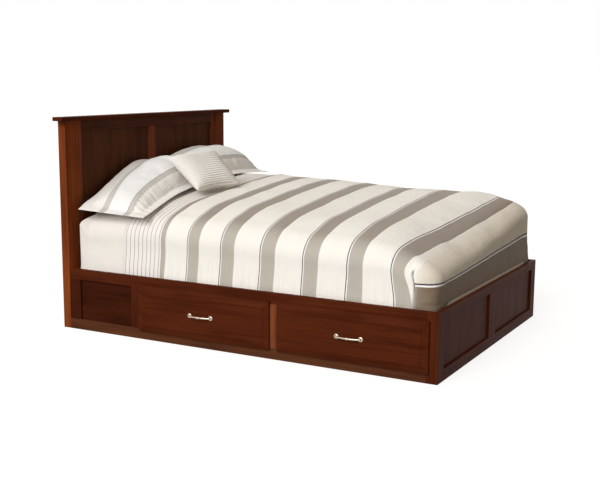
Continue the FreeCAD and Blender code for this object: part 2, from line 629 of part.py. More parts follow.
def pull_foot():
    """A flared foot, seat at Z 0, with a flank that curves in to the neck."""
    foot = size["pull_foot_diameter"] / 2
    neck = size["pull_neck_diameter"] / 2
    rim = size["pull_foot_rim"]
    top = size["pull_neck_height"]
    corner = FreeCAD.Vector(foot, 0, rim)
    high = FreeCAD.Vector(neck, 0, top)
    waist_share = 0.3
    sag = FreeCAD.Vector(neck + (foot - neck) * waist_share, 0, rim + (top - rim) * waist_share)
    edges = [Part.makeLine(FreeCAD.Vector(), FreeCAD.Vector(foot, 0, 0)),
             Part.makeLine(FreeCAD.Vector(foot, 0, 0), corner),
             Part.Arc(corner, sag, high).toShape(),
             Part.makeLine(high, FreeCAD.Vector(0, 0, top)),
             Part.makeLine(FreeCAD.Vector(0, 0, top), FreeCAD.Vector())]
    flank = Part.Face(Part.Wire(edges)).revolve(FreeCAD.Vector(), FreeCAD.Vector(0, 0, 1), FULL_TURN)
    knuckle = Part.makeSphere(neck, FreeCAD.Vector(0, 0, top))
    return flank.fuse(knuckle)


def pull_shape():
    """A pull in its own frame: seat at Z 0, bar along Y, screw holes in its feet."""
    half = size["pull_centres"] / 2
    neck = size["pull_neck_height"]
    rise = size["pull_rise"]
    bar = size["pull_bar_diameter"] / 2
    start = FreeCAD.Vector(0, -half, neck)
    crest = FreeCAD.Vector(0, 0, rise)
    arc = Part.Arc(start, crest, FreeCAD.Vector(0, half, neck))
    path = Part.Wire([arc.toShape()])
    ring = Part.Wire([Part.makeCircle(bar, start, arc.tangent(arc.FirstParameter)[0])])
    whole = path.makePipeShell([ring], True, True)
    bead = Part.makeSphere(size["pull_bead_diameter"] / 2, crest)
    parts = [bead]
    width = size["pull_ring_width"]
    offset = size["pull_bead_diameter"] / 2
    for place in (-offset - width / 2, offset - width / 2):
        parts.append(Part.makeCylinder(size["pull_ring_diameter"] / 2, width,
                                       FreeCAD.Vector(0, place, rise), FreeCAD.Vector(0, 1, 0)))
    foot = pull_foot()
    for place in (-half, half):
        moved = foot.copy()
        moved.translate(FreeCAD.Vector(0, place, 0))
        parts.append(moved)
    whole = whole.multiFuse(parts).removeSplitter()
    hole = size["screw_diameter"] / 2 + size["screw_clearance"]
    depth = size["screw_bite"] + size["screw_clearance"]
    for place in (-half, half):
        whole = whole.cut(Part.makeCylinder(hole, depth, FreeCAD.Vector(0, place, 0)))
    return whole


def screw_shape():
    """A pull screw along Z: its head is inside the drawer, its tip in the foot at Z 0."""
    stack = size["front_edge"] + size["bevel_rise"] + size["field_step"] + size["box_wall"]
    head = size["screw_head_height"]
    shank = Part.makeCylinder(size["screw_diameter"] / 2, stack + size["screw_bite"],
                              FreeCAD.Vector(0, 0, -stack))
    cap = Part.makeCylinder(size["screw_head_diameter"] / 2, head, FreeCAD.Vector(0, 0, -stack - head))
    return shank.fuse(cap)


def make_pull(side, face, front_y, front_z, key):
    """The pull and its two screws, on the middle of the face of a drawer front."""
    half = size["pull_centres"] / 2
    shapes = [pull_shape()]
    for place in (-half, half):
        screw = screw_shape()
        screw.translate(FreeCAD.Vector(0, place, 0))
        shapes.append(screw)
    pull = doc.addObject("Part::Feature", "drawer_pull_" + key)
    pull.Shape = Part.makeCompound(shapes)
    turn = FreeCAD.Rotation(FreeCAD.Vector(0, 1, 0), side * QUARTER_TURN)
    pull.Placement = FreeCAD.Placement(FreeCAD.Vector(), turn)
    sign = "-" if side == LEFT else ""
    places = (sign + face, "((%s) + (%s)) / 2" % front_y, "((%s) + (%s)) / 2" % front_z)
    for axis, place in zip(AXES, places):
        pull.setExpression("Placement.Base." + axis, bound(place))
    keep(pull, "drawer_pull_" + key)


def arc_edge(centre, radius, start, end, place):
    """An arc between two angles in degrees; place turns the two coordinates into a point."""
    angles = [math.radians(angle) for angle in (start, (start + end) / 2, end)]
    points = [place(centre[0] + radius * math.cos(angle), centre[1] + radius * math.sin(angle))
              for angle in angles]
    return Part.Arc(*points).toShape(), points[0], points[2]


def shoulder_centre(crown, crown_radius, shoulder, along):
    """Centre height of a shoulder arc that meets the crown smoothly."""
    reach = crown_radius - shoulder
    return crown[1] + math.sqrt(reach ** 2 - (along - crown[0]) ** 2)


def angle_from(centre, point):
    """Direction of a point from a centre, in degrees."""
    return math.degrees(math.atan2(point[1] - centre[1], point[0] - centre[0]))


def bedding_half():
    """Half the width of the made bed."""
    return size["bed_width"] / 2 - size["board_thickness"] - size["bedding_clearance"]


def bedding_foot():
    """Foot face of the made bed."""
    return -size["bed_length"] / 2 + size["board_thickness"] + size["bedding_clearance"]


def from_head(name):
    """A place on the bed that is measured from its head end."""
    return size["bed_length"] / 2 - size[name]


def deck_height():
    """Top of the deck that the bedding lies on."""
    return size["rail_height"] - size["top_rail_height"] + size["deck_thickness"]


def across_outline(inset, low):
    """The bedding's section across the bed: upright sides, shoulders and a crown."""
    half = bedding_half()
    shoulder = size["side_shoulder"]
    radius = size["crown_radius"]
    crown = (size["crown_shift"], size["crown_top"] - radius)

    def place(x, z):
        return FreeCAD.Vector(x, 0, z)

    near = (-half + shoulder, shoulder_centre(crown, radius, shoulder, -half + shoulder))
    far = (half - shoulder, shoulder_centre(crown, radius, shoulder, half - shoulder))
    small = shoulder - inset
    near_turn = angle_from(crown, near)
    far_turn = angle_from(crown, far)
    left, left_low, left_high = arc_edge(near, small, HALF_TURN, near_turn, place)
    top = arc_edge(crown, radius - inset, near_turn, far_turn, place)[0]
    right, right_high, right_low = arc_edge(far, small, far_turn, 0, place)
    foot_left = place(-half + inset, low)
    foot_right = place(half - inset, low)
    return Part.Wire([Part.makeLine(foot_left, left_low), left, top, right,
                      Part.makeLine(right_low, foot_right), Part.makeLine(foot_right, foot_left)])


def lengthwise_outline(inset, low, end, round_head):
    """The bedding's section along the bed: upright foot, its shoulder, a long crown, the head end."""
    start = bedding_foot()
    shoulder = size["foot_shoulder"]
    radius = size["lengthwise_radius"]
    crown = (from_head("lengthwise_crest"), size["crown_top"] + size["lengthwise_rise"] - radius)

    def place(y, z):
        return FreeCAD.Vector(0, y, z)

    middle = (start + shoulder, shoulder_centre(crown, radius, shoulder, start + shoulder))
    foot_turn = angle_from(crown, middle)
    foot_arc, foot_low = arc_edge(middle, shoulder - inset, HALF_TURN, foot_turn, place)[:2]
    inner = radius - inset
    last = end - round_head
    last_turn = math.degrees(math.acos((last - crown[0]) / inner))
    top, top_start, top_end = arc_edge(crown, inner, foot_turn, last_turn, place)
    edges = [Part.makeLine(place(start + inset, low), foot_low), foot_arc, top]
    if round_head > 0:
        centre = (last, top_end.z - round_head)
        rounding, round_start, round_end = arc_edge(centre, round_head, QUARTER_TURN, 0, place)
        edges.append(rounding)
        top_end = round_end
    edges.append(Part.makeLine(top_end, place(end, low)))
    edges.append(Part.makeLine(place(end, low), place(start + inset, low)))
    return Part.Wire(edges)


def plan_outline(inset, end, low):
    """What rounds the corners at the foot, seen from above; its straight sides clear the bedding."""
    half = bedding_half() + size["corner_outset"]
    corner = size["foot_corner_radius"]
    start = bedding_foot() - size["corner_outset"]

    def place(x, y):
        return FreeCAD.Vector(x, y, low)

    small = corner - inset
    left, left_high, left_low = arc_edge((-half + corner, start + corner), small,
                                         HALF_TURN, HALF_TURN + QUARTER_TURN, place)
    right, right_low, right_high = arc_edge((half - corner, start + corner), small,
                                            -QUARTER_TURN, 0, place)
    head_left = place(-half + inset, end)
    head_right = place(half - inset, end)
    return Part.Wire([Part.makeLine(head_left, left_high), left, Part.makeLine(left_low, right_low),
                      right, Part.makeLine(right_high, head_right), Part.makeLine(head_right, head_left)])


def bedding_form(inset, low, end, round_head=0):
    """The made bed drawn in by inset, from a lower edge to a head end."""
    length = size["bed_length"]
    across = Part.Face(across_outline(inset, low))
    across.translate(FreeCAD.Vector(0, -length, 0))
    across = across.extrude(FreeCAD.Vector(0, 2 * length, 0))
    lengthwise = Part.Face(lengthwise_outline(inset, low, end, round_head))
    lengthwise.translate(FreeCAD.Vector(-length, 0, 0))
    lengthwise = lengthwise.extrude(FreeCAD.Vector(2 * length, 0, 0))
    plan = Part.Face(plan_outline(inset, end + size["cut_overrun"], low - size["cut_overrun"]))
    plan = plan.extrude(FreeCAD.Vector(0, 0, length))
    return across.common(lengthwise).common(plan)


def solid_of(shape):
    """The one solid of a cut or common, and an error if there are more."""
    if len(shape.Solids) != 1:
        raise RuntimeError("expected one solid, found %d" % len(shape.Solids))
    return shape.Solids[0]


def soft(name, shape):
    """A soft piece, modelled straight from the sizes."""
    piece = doc.addObject("Part::Feature", name)
    piece.Shape = solid_of(shape)
    piece.Placement = FreeCAD.Placement()
    return keep(piece, name)


def make_covers():
    """Mattress, blanket and comforter, one inside the other."""
    low = deck_height() + size["tuck_height"]
    gap = size["seat_clearance"]
    over = size["cut_overrun"]
    comforter_inner = size["comforter_thickness"]
    blanket_outer = comforter_inner + gap
    blanket_inner = blanket_outer + size["blanket_thickness"]

    edge = from_head("comforter_edge")
    outer = bedding_form(0, low, edge)
    inner = bedding_form(comforter_inner, low - over, edge + over)
    soft("comforter", outer.cut(inner).cut(pleat_tools(low)))

    edge = from_head("blanket_edge")
    outer = bedding_form(blanket_outer, low, edge)
    inner = bedding_form(blanket_inner, low - over, edge + over)
    soft("blanket", outer.cut(inner))

    end = from_head("mattress_end")
    soft("mattress", bedding_form(blanket_inner + gap, deck_height() + gap, end, size["mattress_head_round"]))


def pleat_tools(low):
    """The corner folds of the comforter: an upright groove in each side near the foot."""
    tools = []
    half = bedding_half()
    width = size["pleat_width"]
    depth = size["pleat_depth"]
    over = size["cut_overrun"]
    y = bedding_foot() + size["pleat_from_foot"]
    for side in (LEFT, RIGHT):
        x = side * half
        points = [FreeCAD.Vector(x + side * over, y - width, low - over),
                  FreeCAD.Vector(x - side * depth, y, low - over),
                  FreeCAD.Vector(x + side * over, y + width, low - over)]
        face = Part.Face(Part.makePolygon(points + points[:1]))
        tools.append(face.extrude(FreeCAD.Vector(0, 0, size["pleat_top"] - low)))
    return tools[0].fuse(tools[1])


def lens(x, front, back, rise, drop):
    """A closed section of a pillow in an upright plane: two arcs that meet at its edges."""
    front = FreeCAD.Vector(x, *front)
    back = FreeCAD.Vector(x, *back)
    middle = (front + back) / 2
    chord = back - front
    normal = FreeCAD.Vector(0, -chord.z, chord.y).normalize()
    top = Part.Arc(front, middle + normal * rise, back).toShape()
    belly = Part.Arc(back, middle - normal * drop, front).toShape()
    return Part.Wire([top, belly])


# Along a sham from its outer to its inner end: place, front height, back height, crown, belly
LEFT_SHAM_SHARES = ((0.0, 0.0, 0.0, 0.16, 0.05), (0.1, 0.12, 0.14, 0.62, 0.25),
                    (0.27, 0.38, 0.33, 0.95, 0.8), (0.5, 0.68, 0.7, 1.0, 1.0),
                    (0.75, 0.86, 1.0, 1.0, 1.0), (0.94, 0.97, 0.97, 0.7, 0.7),
                    (1.0, 1.0, 0.9, 0.16, 0.16))
RIGHT_SHAM_SHARES = ((0.0, 0.0, 0.0, 0.16, 0.05), (0.08, 0.3, 0.5, 0.62, 0.3),
                     (0.25, 0.62, 0.93, 0.95, 0.95), (0.45, 0.85, 1.0, 1.0, 1.0),
                     (0.72, 0.95, 0.86, 1.0, 1.0), (0.93, 1.0, 0.66, 0.7, 0.7),
                     (1.0, 1.0, 0.6, 0.16, 0.16))


def sham_shape(side, shares, name):
    """One pillow in its sham, lofted through its sections from end to end."""
    outer = side * size["sham_outer"]
    inner = side * size["sham_inner"]
    skew = size[name + "_sham_skew"] * (1 if side == LEFT else -1)
    sections = []
    for along, front_share, back_share, crown_share, belly_share in shares:
        x = outer + (inner - outer) * along
        front_y = from_head(name + "_sham_front") + skew * along
        front_low = size[name + "_sham_front_low"]
        front_z = front_low + (size[name + "_sham_front_high"] - front_low) * front_share
        back_low = size[name + "_sham_back_low"]
        back_z = back_low + (size[name + "_sham_back_high"] - back_low) * back_share
        sections.append(lens(x, (front_y, front_z), (from_head("sham_back"), back_z),
                             size[name + "_sham_rise"] * crown_share, size["sham_drop"] * belly_share))
    return Part.makeLoft(sections, True, False)


# Down the cushion from edge to edge: place, drawing in of its sides, fullness
CUSHION_SHARES = ((-0.5, 0.0, 0.1), (-0.42, 0.5, 0.5), (-0.2, 0.95, 0.92), (0.0, 1.0, 1.0),
                  (0.2, 0.95, 0.92), (0.42, 0.5, 0.5), (0.5, 0.0, 0.1))
# How the cushion lies, in degrees: turned to the foot corner, leaned back, rolled
CUSHION_TURN = -20
CUSHION_LEAN = 33
CUSHION_ROLL = 5


def cushion_shape():
    """A square crowned cushion whose sides draw in, leaning where it lies."""
    side = size["cushion_side"]
    sections = []
    for along, drawn, fullness in CUSHION_SHARES:
        half = side / 2 - size["cushion_draw"] * drawn
        crown = size["cushion_thickness"] / 2 * fullness
        left = FreeCAD.Vector(-half, side * along, 0)
        right = FreeCAD.Vector(half, side * along, 0)
        top = Part.Arc(left, FreeCAD.Vector(0, side * along, crown), right).toShape()
        belly = Part.Arc(right, FreeCAD.Vector(0, side * along, -crown), left).toShape()
        sections.append(Part.Wire([top, belly]))
    form = Part.makeLoft(sections, True, False)
    turn = FreeCAD.Rotation(FreeCAD.Vector(0, 0, 1), CUSHION_TURN)
    lean = FreeCAD.Rotation(FreeCAD.Vector(1, 0, 0), CUSHION_LEAN)
    roll = FreeCAD.Rotation(FreeCAD.Vector(0, 1, 0), -CUSHION_ROLL)
    place = FreeCAD.Vector(size["cushion_x"], from_head("cushion_from_head"),
                           size["crown_top"] + size["cushion_lift"])
    form.Placement = FreeCAD.Placement(place, turn.multiply(lean).multiply(roll))
    return form


def make_pillows():
    """Two shams on the bed against the headboard, and the cushion that leans on them."""
    gap = size["seat_clearance"]
    deck = deck_height()
    bed = bedding_form(size["comforter_thickness"], deck, size["bed_length"])
    shams = {}
    for side, shares in ((LEFT, LEFT_SHAM_SHARES), (RIGHT, RIGHT_SHAM_SHARES)):
        name = SIDE_NAMES[side]
        shams[side] = solid_of(sham_shape(side, shares, name).cut(bed))
        soft("sham_" + name, shams[side])
    cushion = cushion_shape()
    cover = bedding_form(-gap, deck, from_head("comforter_edge") + gap)
    cushion = cushion.cut(bed).cut(cover)
    for sham in shams.values():
        keep_off = sham.copy()
        keep_off.translate(FreeCAD.Vector(0, -gap, gap))
        cushion = cushion.cut(sham).cut(keep_off)
    soft("accent_cushion", cushion)


def check_model():
    """Stop if an object failed or a sub-part has no sound solid."""
    doc.recompute()
    for item in doc.Objects:
        if "Invalid" in item.State or "Error" in item.State:
            raise RuntimeError("%s failed: %s" % (item.Name, item.State))
    for piece in pieces:
        if piece.Shape.isNull() or not piece.Shape.isValid() or not piece.Shape.Solids:
            raise RuntimeError("%s has no sound solid" % piece.Label)


def main():
    make_headboard()
    make_footboard()
    for side in (LEFT, RIGHT):
        make_side(side)
    make_bolts()
    make_platform()
    make_slides()
    for side in (LEFT, RIGHT):
        for bay in BAYS:
            make_drawer(side, bay)
    make_covers()
    make_pillows()
    check_model()
    os.makedirs("parts", exist_ok=True)
    for piece in pieces:
        piece.Shape.exportStep("parts/%s.step" % piece.Label)
    print("%d sub-parts" % len(pieces))


main()
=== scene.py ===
import math

import bmesh
import bpy
import numpy as np
from bpy.props import FloatProperty, FloatVectorProperty, PointerProperty
from mathutils import Matrix, Vector, noise
from mathutils.bvhtree import BVHTree


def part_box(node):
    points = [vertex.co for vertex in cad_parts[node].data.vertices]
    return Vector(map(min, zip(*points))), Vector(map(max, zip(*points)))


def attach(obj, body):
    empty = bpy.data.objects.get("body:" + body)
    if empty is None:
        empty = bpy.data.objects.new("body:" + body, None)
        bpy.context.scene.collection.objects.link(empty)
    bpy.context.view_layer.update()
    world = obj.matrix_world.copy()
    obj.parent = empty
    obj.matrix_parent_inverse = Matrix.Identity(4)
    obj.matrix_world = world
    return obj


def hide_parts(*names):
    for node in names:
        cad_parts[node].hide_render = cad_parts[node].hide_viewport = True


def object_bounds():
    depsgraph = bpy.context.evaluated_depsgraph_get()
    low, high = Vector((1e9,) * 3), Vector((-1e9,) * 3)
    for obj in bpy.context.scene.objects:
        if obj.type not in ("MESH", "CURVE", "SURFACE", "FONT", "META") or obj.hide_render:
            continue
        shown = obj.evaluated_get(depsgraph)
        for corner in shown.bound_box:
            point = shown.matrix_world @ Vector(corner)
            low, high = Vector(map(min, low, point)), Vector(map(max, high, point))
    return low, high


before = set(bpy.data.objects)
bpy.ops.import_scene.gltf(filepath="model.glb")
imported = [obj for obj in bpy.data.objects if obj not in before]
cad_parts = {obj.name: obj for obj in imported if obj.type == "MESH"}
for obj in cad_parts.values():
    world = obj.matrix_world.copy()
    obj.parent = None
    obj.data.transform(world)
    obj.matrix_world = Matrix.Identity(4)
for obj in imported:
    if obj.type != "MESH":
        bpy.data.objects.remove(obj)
CAD_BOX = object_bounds()

# A storage bed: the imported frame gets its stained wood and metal, and the bedding is made over
# its plain soft solids. Metres, +Z up, +Y to the headboard, X across the bed.

bl_info = {
    "name": "Storage bed",
    "version": (1, 0, 0),
    "blender": (4, 5, 0),
    "location": "3D View > Sidebar > Storage bed",
    "description": "Finishes the wood, metal and bedding of a storage bed",
    "category": "Object",
}

SIDES = ("left", "right")
DRAWERS = ("left_head", "left_foot", "right_head", "right_foot")
COVER_LOW, COVER_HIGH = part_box("comforter")
BLANKET_LOW, BLANKET_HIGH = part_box("blanket")
MATTRESS_LOW, MATTRESS_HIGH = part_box("mattress")
FOOT_FACE = CAD_BOX[0].y
HEAD_FACE = CAD_BOX[1].y

# The made bed's top: how far it lies below its highest line, at places from the foot face ...
FALL_ALONG = ((0.167, 0.145), (0.240, 0.108), (0.490, 0.046), (0.730, 0.038), (0.980, 0.022),
              (1.210, 0.010), (1.410, 0.004), (1.860, 0.008), (2.160, 0.024))
# ... and, on top of that, at places across it: it was pulled down on the near side
FALL_ACROSS = ((-0.66, 0.130), (-0.50, 0.083), (-0.22, 0.048), (0.0, 0.025), (0.20, 0.009),
               (0.40, 0.0), (0.55, 0.013), (0.64, 0.034))
# The folded corners at the foot stand higher: how much at places across, and how much of that
# at places from the foot face
FOOT_LIFT = ((-0.66, 0.050), (-0.54, 0.027), (-0.36, 0.011), (0.05, 0.011), (0.35, 0.026),
             (0.50, 0.052), (0.64, 0.098))
FOOT_SHARE = ((0.16, 1.0), (0.245, 0.83), (0.3055, 0.68), (0.4275, 0.34), (0.5525, 0.18),
              (0.68, 0.12), (0.81, 0.09), (1.10, 0.03), (1.35, 0.0))
HEAD_LIFT = 0.020                       # on the far side the bed stays higher under the pillow
HEAD_LIFT_FROM, HEAD_LIFT_TO = FOOT_FACE + 1.45, FOOT_FACE + 1.75
# Its shoulders, and the walls that lean out as they hang
SHOULDER_SIDE = 0.130
SHOULDER_FOOT = 0.140
SHOULDER_DROP = 0.138
FOOT_DROP = 0.110             # the shoulders are tighter at the foot
LEAN_SIDE = 0.016
LEAN_FOOT = 0.006
WALL_TOP = 0.50
RAIL_TOP = 0.340
# Its corners at the foot: round above, pushed into the corner of the frame below
CORNER_HIGH = 0.096
CORNER_FAR = 0.045            # the far one is tighter
CORNER_LOW = 0.045
SQUARE = 0.4                  # how square the mattress's head corners are in plan: 1 is an ellipse
FOLD_Y = FOOT_FACE + 0.1375   # where the foot cloth, wrapped round the corner, ends on each side
# The comforter's stripes: cloth distance from its first line in metres, and stripe periods
LINE_START = 1.642
FOOT_LINE = 1.740             # the last line, on the foot, and below it the end of its stripe
FOOT_HEM = 1.840
STRIPES = ((-0.226, -1), (0.010, 0), (0.226, 1), (0.429, 2), (0.663, 3), (0.907, 4), (1.147, 5),
           (1.403, 6), (1.494, 6.36), (FOOT_LINE, 7), (FOOT_HEM, 7.36), (1.94, 7.72))
FOOT_LINE_HEIGHTS = ((-0.50, 0.459), (0.77, 0.517))
FOOT_HEM_HEIGHTS = ((-0.66, 0.325), (-0.60, 0.352))


def linear(text):
    """An sRGB hex colour as linear values with alpha."""
    values = [int(text[i:i + 2], 16) / 255 for i in (1, 3, 5)]
    return [v / 12.92 if v <= 0.04045 else ((v + 0.055) / 1.055) ** 2.4 for v in values] + [1.0]


def colour(name, text, note):
    """A colour that a user would change."""
    return FloatVectorProperty(name=name, description=note, subtype="COLOR", size=4, min=0, max=1,
                               default=linear(text))


def length(name, metres, note):
    """A size that a user would change."""
    return FloatProperty(name=name, description=note, default=metres, min=0, unit="LENGTH",
                         subtype="DISTANCE", precision=4)


class WoodFinish(bpy.types.PropertyGroup):
    """Colours and grain of the wood."""
    stain: colour("Stain", "#4F2211", "Stained wood between the grain lines")
    stain_dark: colour("Grain", "#3E180B", "Grain lines, where the stain sank in")
    stain_light: colour("Light figure", "#5B2912", "Where the stain took less")
    inner: colour("Inner wood", "#CDAA7B", "Lacquered birch of the drawer boxes")
    inner_dark: colour("Inner grain", "#A98552", "Grain of the drawer boxes")
    grain_width: length("Grain width", 0.011, "Width of a growth band across a board")
    grain_length: length("Grain length", 0.42, "How far a growth band runs along a board")
    pore_width: length("Pore width", 0.0011, "Width of a pore")
    pore_length: length("Pore length", 0.022, "Length of a pore")


class MetalFinish(bpy.types.PropertyGroup):
    """Colours of the metal."""
    nickel: colour("Satin nickel", "#CDBFAD", "Drawer pulls")
    zinc: colour("Zinc plate", "#B9BBBC", "Drawer slides")
    bolt: colour("Bolt zinc", "#8F8B85", "Bed bolts")


class Bedding(bpy.types.PropertyGroup):
    """Colours and sizes of the bedding."""
    sheet: colour("Sheet", "#EDE8E2", "Fitted sheet")
    blanket: colour("Blanket", "#EFEAE4", "Ground of the blanket")
    pinstripe: colour("Pinstripe", "#A39DA2", "Thin lines of the blanket")
    cream: colour("Cream", "#F1EDE6", "Ground of the comforter")
    # The colours at the foot and at the sides are painted light: painted shade at the foot, and a painted
    # sheen on the stripes at the sides
    cream_painted_foot_shade: colour("Cream at the foot", "#DDD3C3", "The same ground, darkened by place at the foot")
    taupe: colour("Taupe", "#A1968B", "Wide sateen stripes of the comforter")
    taupe_side: colour("Taupe at the sides", "#B9B3A8", "The same, lightened by place on the sides")
    taupe_painted_foot_shade: colour("Taupe at the foot", "#7B6A5A", "The same, darkened by place at the foot")
    violet: colour("Violet line", "#4E4155", "Thin line before each wide stripe")
    white: colour("White line", "#F4F1EC", "Line between the thin and the wide stripe")
    sham_cream: colour("Sham cream", "#F3F0EB", "Ground of the shams")
    sham_white: colour("Sham white", "#F4F4F3", "Middle band of the shams")
    sham_grey: colour("Sham grey", "#CDC8C2", "Grey bands of the shams")
    sham_line: colour("Sham line", "#8F8B99", "Thin line of the shams")
    tuck: colour("Cushion", "#F3F0EA", "Raised cloth of the cushion")
    # The tucks' colour is painted shade at the bottom of each tuck
    tuck_shade: colour("Cushion tucks", "#887E75", "Bottom of the cushion's pin tucks")
    comforter_thickness: length("Comforter thickness", 0.009, "Quilted cloth")
    blanket_thickness: length("Blanket thickness", 0.0025, "Woven cloth")
    pinstripe_pitch: length("Pinstripe pitch", 0.027, "Between two thin lines")
    tuck_pitch: length("Tuck pitch", 0.0185, "Between two pin tucks of the cushion")
    thread_pitch: length("Weave pitch", 0.0016, "Drawn weave, coarser than the real thread")
    stitch_length: length("Stitch", 0.0035, "Length of one stitch")
    stitch_pitch: length("Stitch pitch", 0.0055, "From one stitch to the next")
    thread_width: length("Thread width", 0.0009, "Width of a stitch")
    thread: colour("Thread", "#DAD5CC", "Sewing thread")


class Studio(bpy.types.PropertyGroup):
    """Camera and light."""
    eye: FloatVectorProperty(name="Camera place", description="Where the camera stands",
                             subtype="XYZ", unit="LENGTH", default=(-5.0794, -2.7008, 1.4038))
    azimuth: FloatProperty(name="Azimuth", description="Turn of the camera about the upright",
                           subtype="ANGLE", default=math.radians(-61.6555))
    elevation: FloatProperty(name="Elevation", description="How far the camera looks down",
                             subtype="ANGLE", default=math.radians(9.7285))
    roll: FloatProperty(name="Roll", description="Turn of the camera about its view",
                        subtype="ANGLE", default=math.radians(0.3893))
    lens: FloatProperty(name="Lens", description="Focal length in millimetres", default=61.21,
                        unit="CAMERA")
    sky: FloatProperty(name="Soft light", description="Light from all round", default=0.39)
    sky_tint: colour("Soft light colour", "#FFFBF4", "Slightly warm")
    low_tint: colour("Light from the foot", "#EBC99C", "Warmer and weaker than from elsewhere")
    key: FloatProperty(name="Key light", description="Lamp at the near side", default=2.15)
    floor: colour("Floor", "#969694", "Plain pale floor")
    floor_lift: FloatProperty(name="Floor lift", description="Brings the seen floor up to white",
                              default=0.80)


def add(tree, kind, sockets=None, stops=None, **settings):
    """One node with its settings; sockets take values or other nodes' outputs, a ramp its stops."""
    node = tree.nodes.new(kind)
    for name, value in settings.items():
        setattr(node, name, value)
    if stops:
        node.color_ramp.interpolation = stops[0]
        while len(node.color_ramp.elements) < len(stops[1]):
            node.color_ramp.elements.new(1.0)
        for element, (place, value) in zip(node.color_ramp.elements, stops[1]):
            element.position = place
            element.color = value
    for key, value in (sockets or {}).items():
        if isinstance(value, bpy.types.NodeSocket):
            tree.links.new(value, node.inputs[key])
        else:
            node.inputs[key].default_value = value
    return node


def new_finish(name, **constants):
    """A material with one Principled shader; what is the same all over is set on its sockets."""
    material = bpy.data.materials.new(name)
    material.use_nodes = True
    tree = material.node_tree
    tree.nodes.clear()
    sockets = {key.replace("_", " "): value for key, value in constants.items()}
    shader = add(tree, "ShaderNodeBsdfPrincipled", sockets)
    add(tree, "ShaderNodeOutputMaterial", {"Surface": shader.outputs[0]})
    return material, tree, shader


def wear(node_name, material):
    """A CAD piece takes a material in place of its own."""
    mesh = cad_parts[node_name].data
    mesh.materials.clear()
    mesh.materials.append(material)


# Wood

def wood(name, along, dark, middle, light, finish, shine):
    """Straight-grained wood, its grain along one axis: growth bands, finer fibre and short pores."""
    material, tree, shader = new_finish(name, **shine)
    place = add(tree, "ShaderNodeTexCoord").outputs["Object"]

    def stretched(wide, long):
        scale = [1 / wide] * 3
        scale["XYZ".index(along)] = 1 / long
        return add(tree, "ShaderNodeMapping", {"Vector": place, "Scale": scale}).outputs[0]

    bands = add(tree, "ShaderNodeTexNoise", {
        "Vector": stretched(finish.grain_width, finish.grain_length), "Scale": 1.0, "Detail": 5.0,
        "Roughness": 0.55, "Distortion": 0.9})
    figure = add(tree, "ShaderNodeTexNoise", {
        "Vector": stretched(finish.grain_width * 7, finish.grain_length), "Scale": 1.0,
        "Detail": 2.0, "Distortion": 0.4})
    pores = add(tree, "ShaderNodeTexNoise", {
        "Vector": stretched(finish.pore_width, finish.pore_length), "Scale": 1.0, "Detail": 2.0})
    both = add(tree, "ShaderNodeMath", {0: bands.outputs["Fac"], 1: figure.outputs["Fac"]})
    half = add(tree, "ShaderNodeMath", {0: both.outputs[0], 1: 0.5}, operation="MULTIPLY")
    shade = add(tree, "ShaderNodeValToRGB", {"Fac": half.outputs[0]},
                stops=("LINEAR", ((0.33, dark), (0.5, middle), (0.69, light))))
    pits = add(tree, "ShaderNodeMapRange", {"Value": pores.outputs["Fac"], "From Min": 0.60,
                                            "From Max": 0.72, "To Min": 0.0, "To Max": 0.35})
    tone = add(tree, "ShaderNodeMix", {0: pits.outputs[0], 6: shade.outputs["Color"], 7: dark},
               data_type="RGBA")
    tree.links.new(tone.outputs[2], shader.inputs["Base Color"])
    relief = add(tree, "ShaderNodeBump", {"Strength": 0.12, "Distance": 0.0004,
                                          "Height": pores.outputs["Fac"]})
    tree.links.new(relief.outputs[0], shader.inputs["Normal"])
    gloss = add(tree, "ShaderNodeMapRange", {"Value": bands.outputs["Fac"], "From Min": 0.3,
                                             "From Max": 0.7, "To Min": shine["Roughness"] + 0.05,
                                             "To Max": shine["Roughness"] - 0.04})
    tree.links.new(gloss.outputs[0], shader.inputs["Roughness"])
    return material


SATIN = {"Roughness": 0.38, "Specular_IOR_Level": 0.010, "Coat_Weight": 0.01,
         "Coat_Roughness": 0.25, "IOR": 1.5}
CLEAR = {"Roughness": 0.42, "Specular_IOR_Level": 0.4, "IOR": 1.5}


def stained(along, board):
    """Maple with a dark red-brown stain under satin lacquer: deep colour, quiet grain, a soft
    sheen. One for each way that a board's grain runs, and for each tone that a board has, which is partly its
    own stain and partly painted light and shade."""
    stain, shares = STAIN_AND_PAINTED_LIGHT_OF.get(board, ("even", (1.0, 1.0, 1.0)))
    name = "stained_maple_%s_along_%s" % (stain, along.lower())
    if name in bpy.data.materials:
        return bpy.data.materials[name]
    finish = bpy.context.scene.bed_wood
    tones = [[share * value for share, value in zip(shares, tone[:3])] + [1.0]
             for tone in (finish.stain_dark, finish.stain, finish.stain_light)]
    return wood(name, along, *tones, finish, SATIN)


def birch(along):
    """Birch under clear lacquer: pale, even and slightly glossy, as inside a drawer."""
    name = "clear_lacquered_birch_along_" + along.lower()
    if name in bpy.data.materials:
        return bpy.data.materials[name]
    finish = bpy.context.scene.bed_wood
    return wood(name, along, finish.inner_dark, finish.inner, finish.inner, finish, CLEAR)


GRAIN = {
    "X": ["headboard_cap", "headboard_top_rail", "headboard_bottom_rail", "footboard_top_rail",
          "footboard_bottom_rail"],
    "Y": ["side_%s_%s" % (side, part) for side in SIDES for part in ("top_rail", "bottom_rail", "panel")]
         + ["drawer_front_" + key for key in DRAWERS],
    "Z": ["headboard_post_left", "headboard_post_right", "headboard_side_stiles",
          "headboard_centre_stile", "headboard_panel_left", "headboard_panel_right",
          "corner_post_left", "corner_post_right", "footboard_centre_stile",
          "footboard_panel_left", "footboard_panel_right"]
         + ["side_%s_%s" % (side, part) for side in SIDES
            for part in ("head_stile", "panel_stile", "divider_stile")],
}
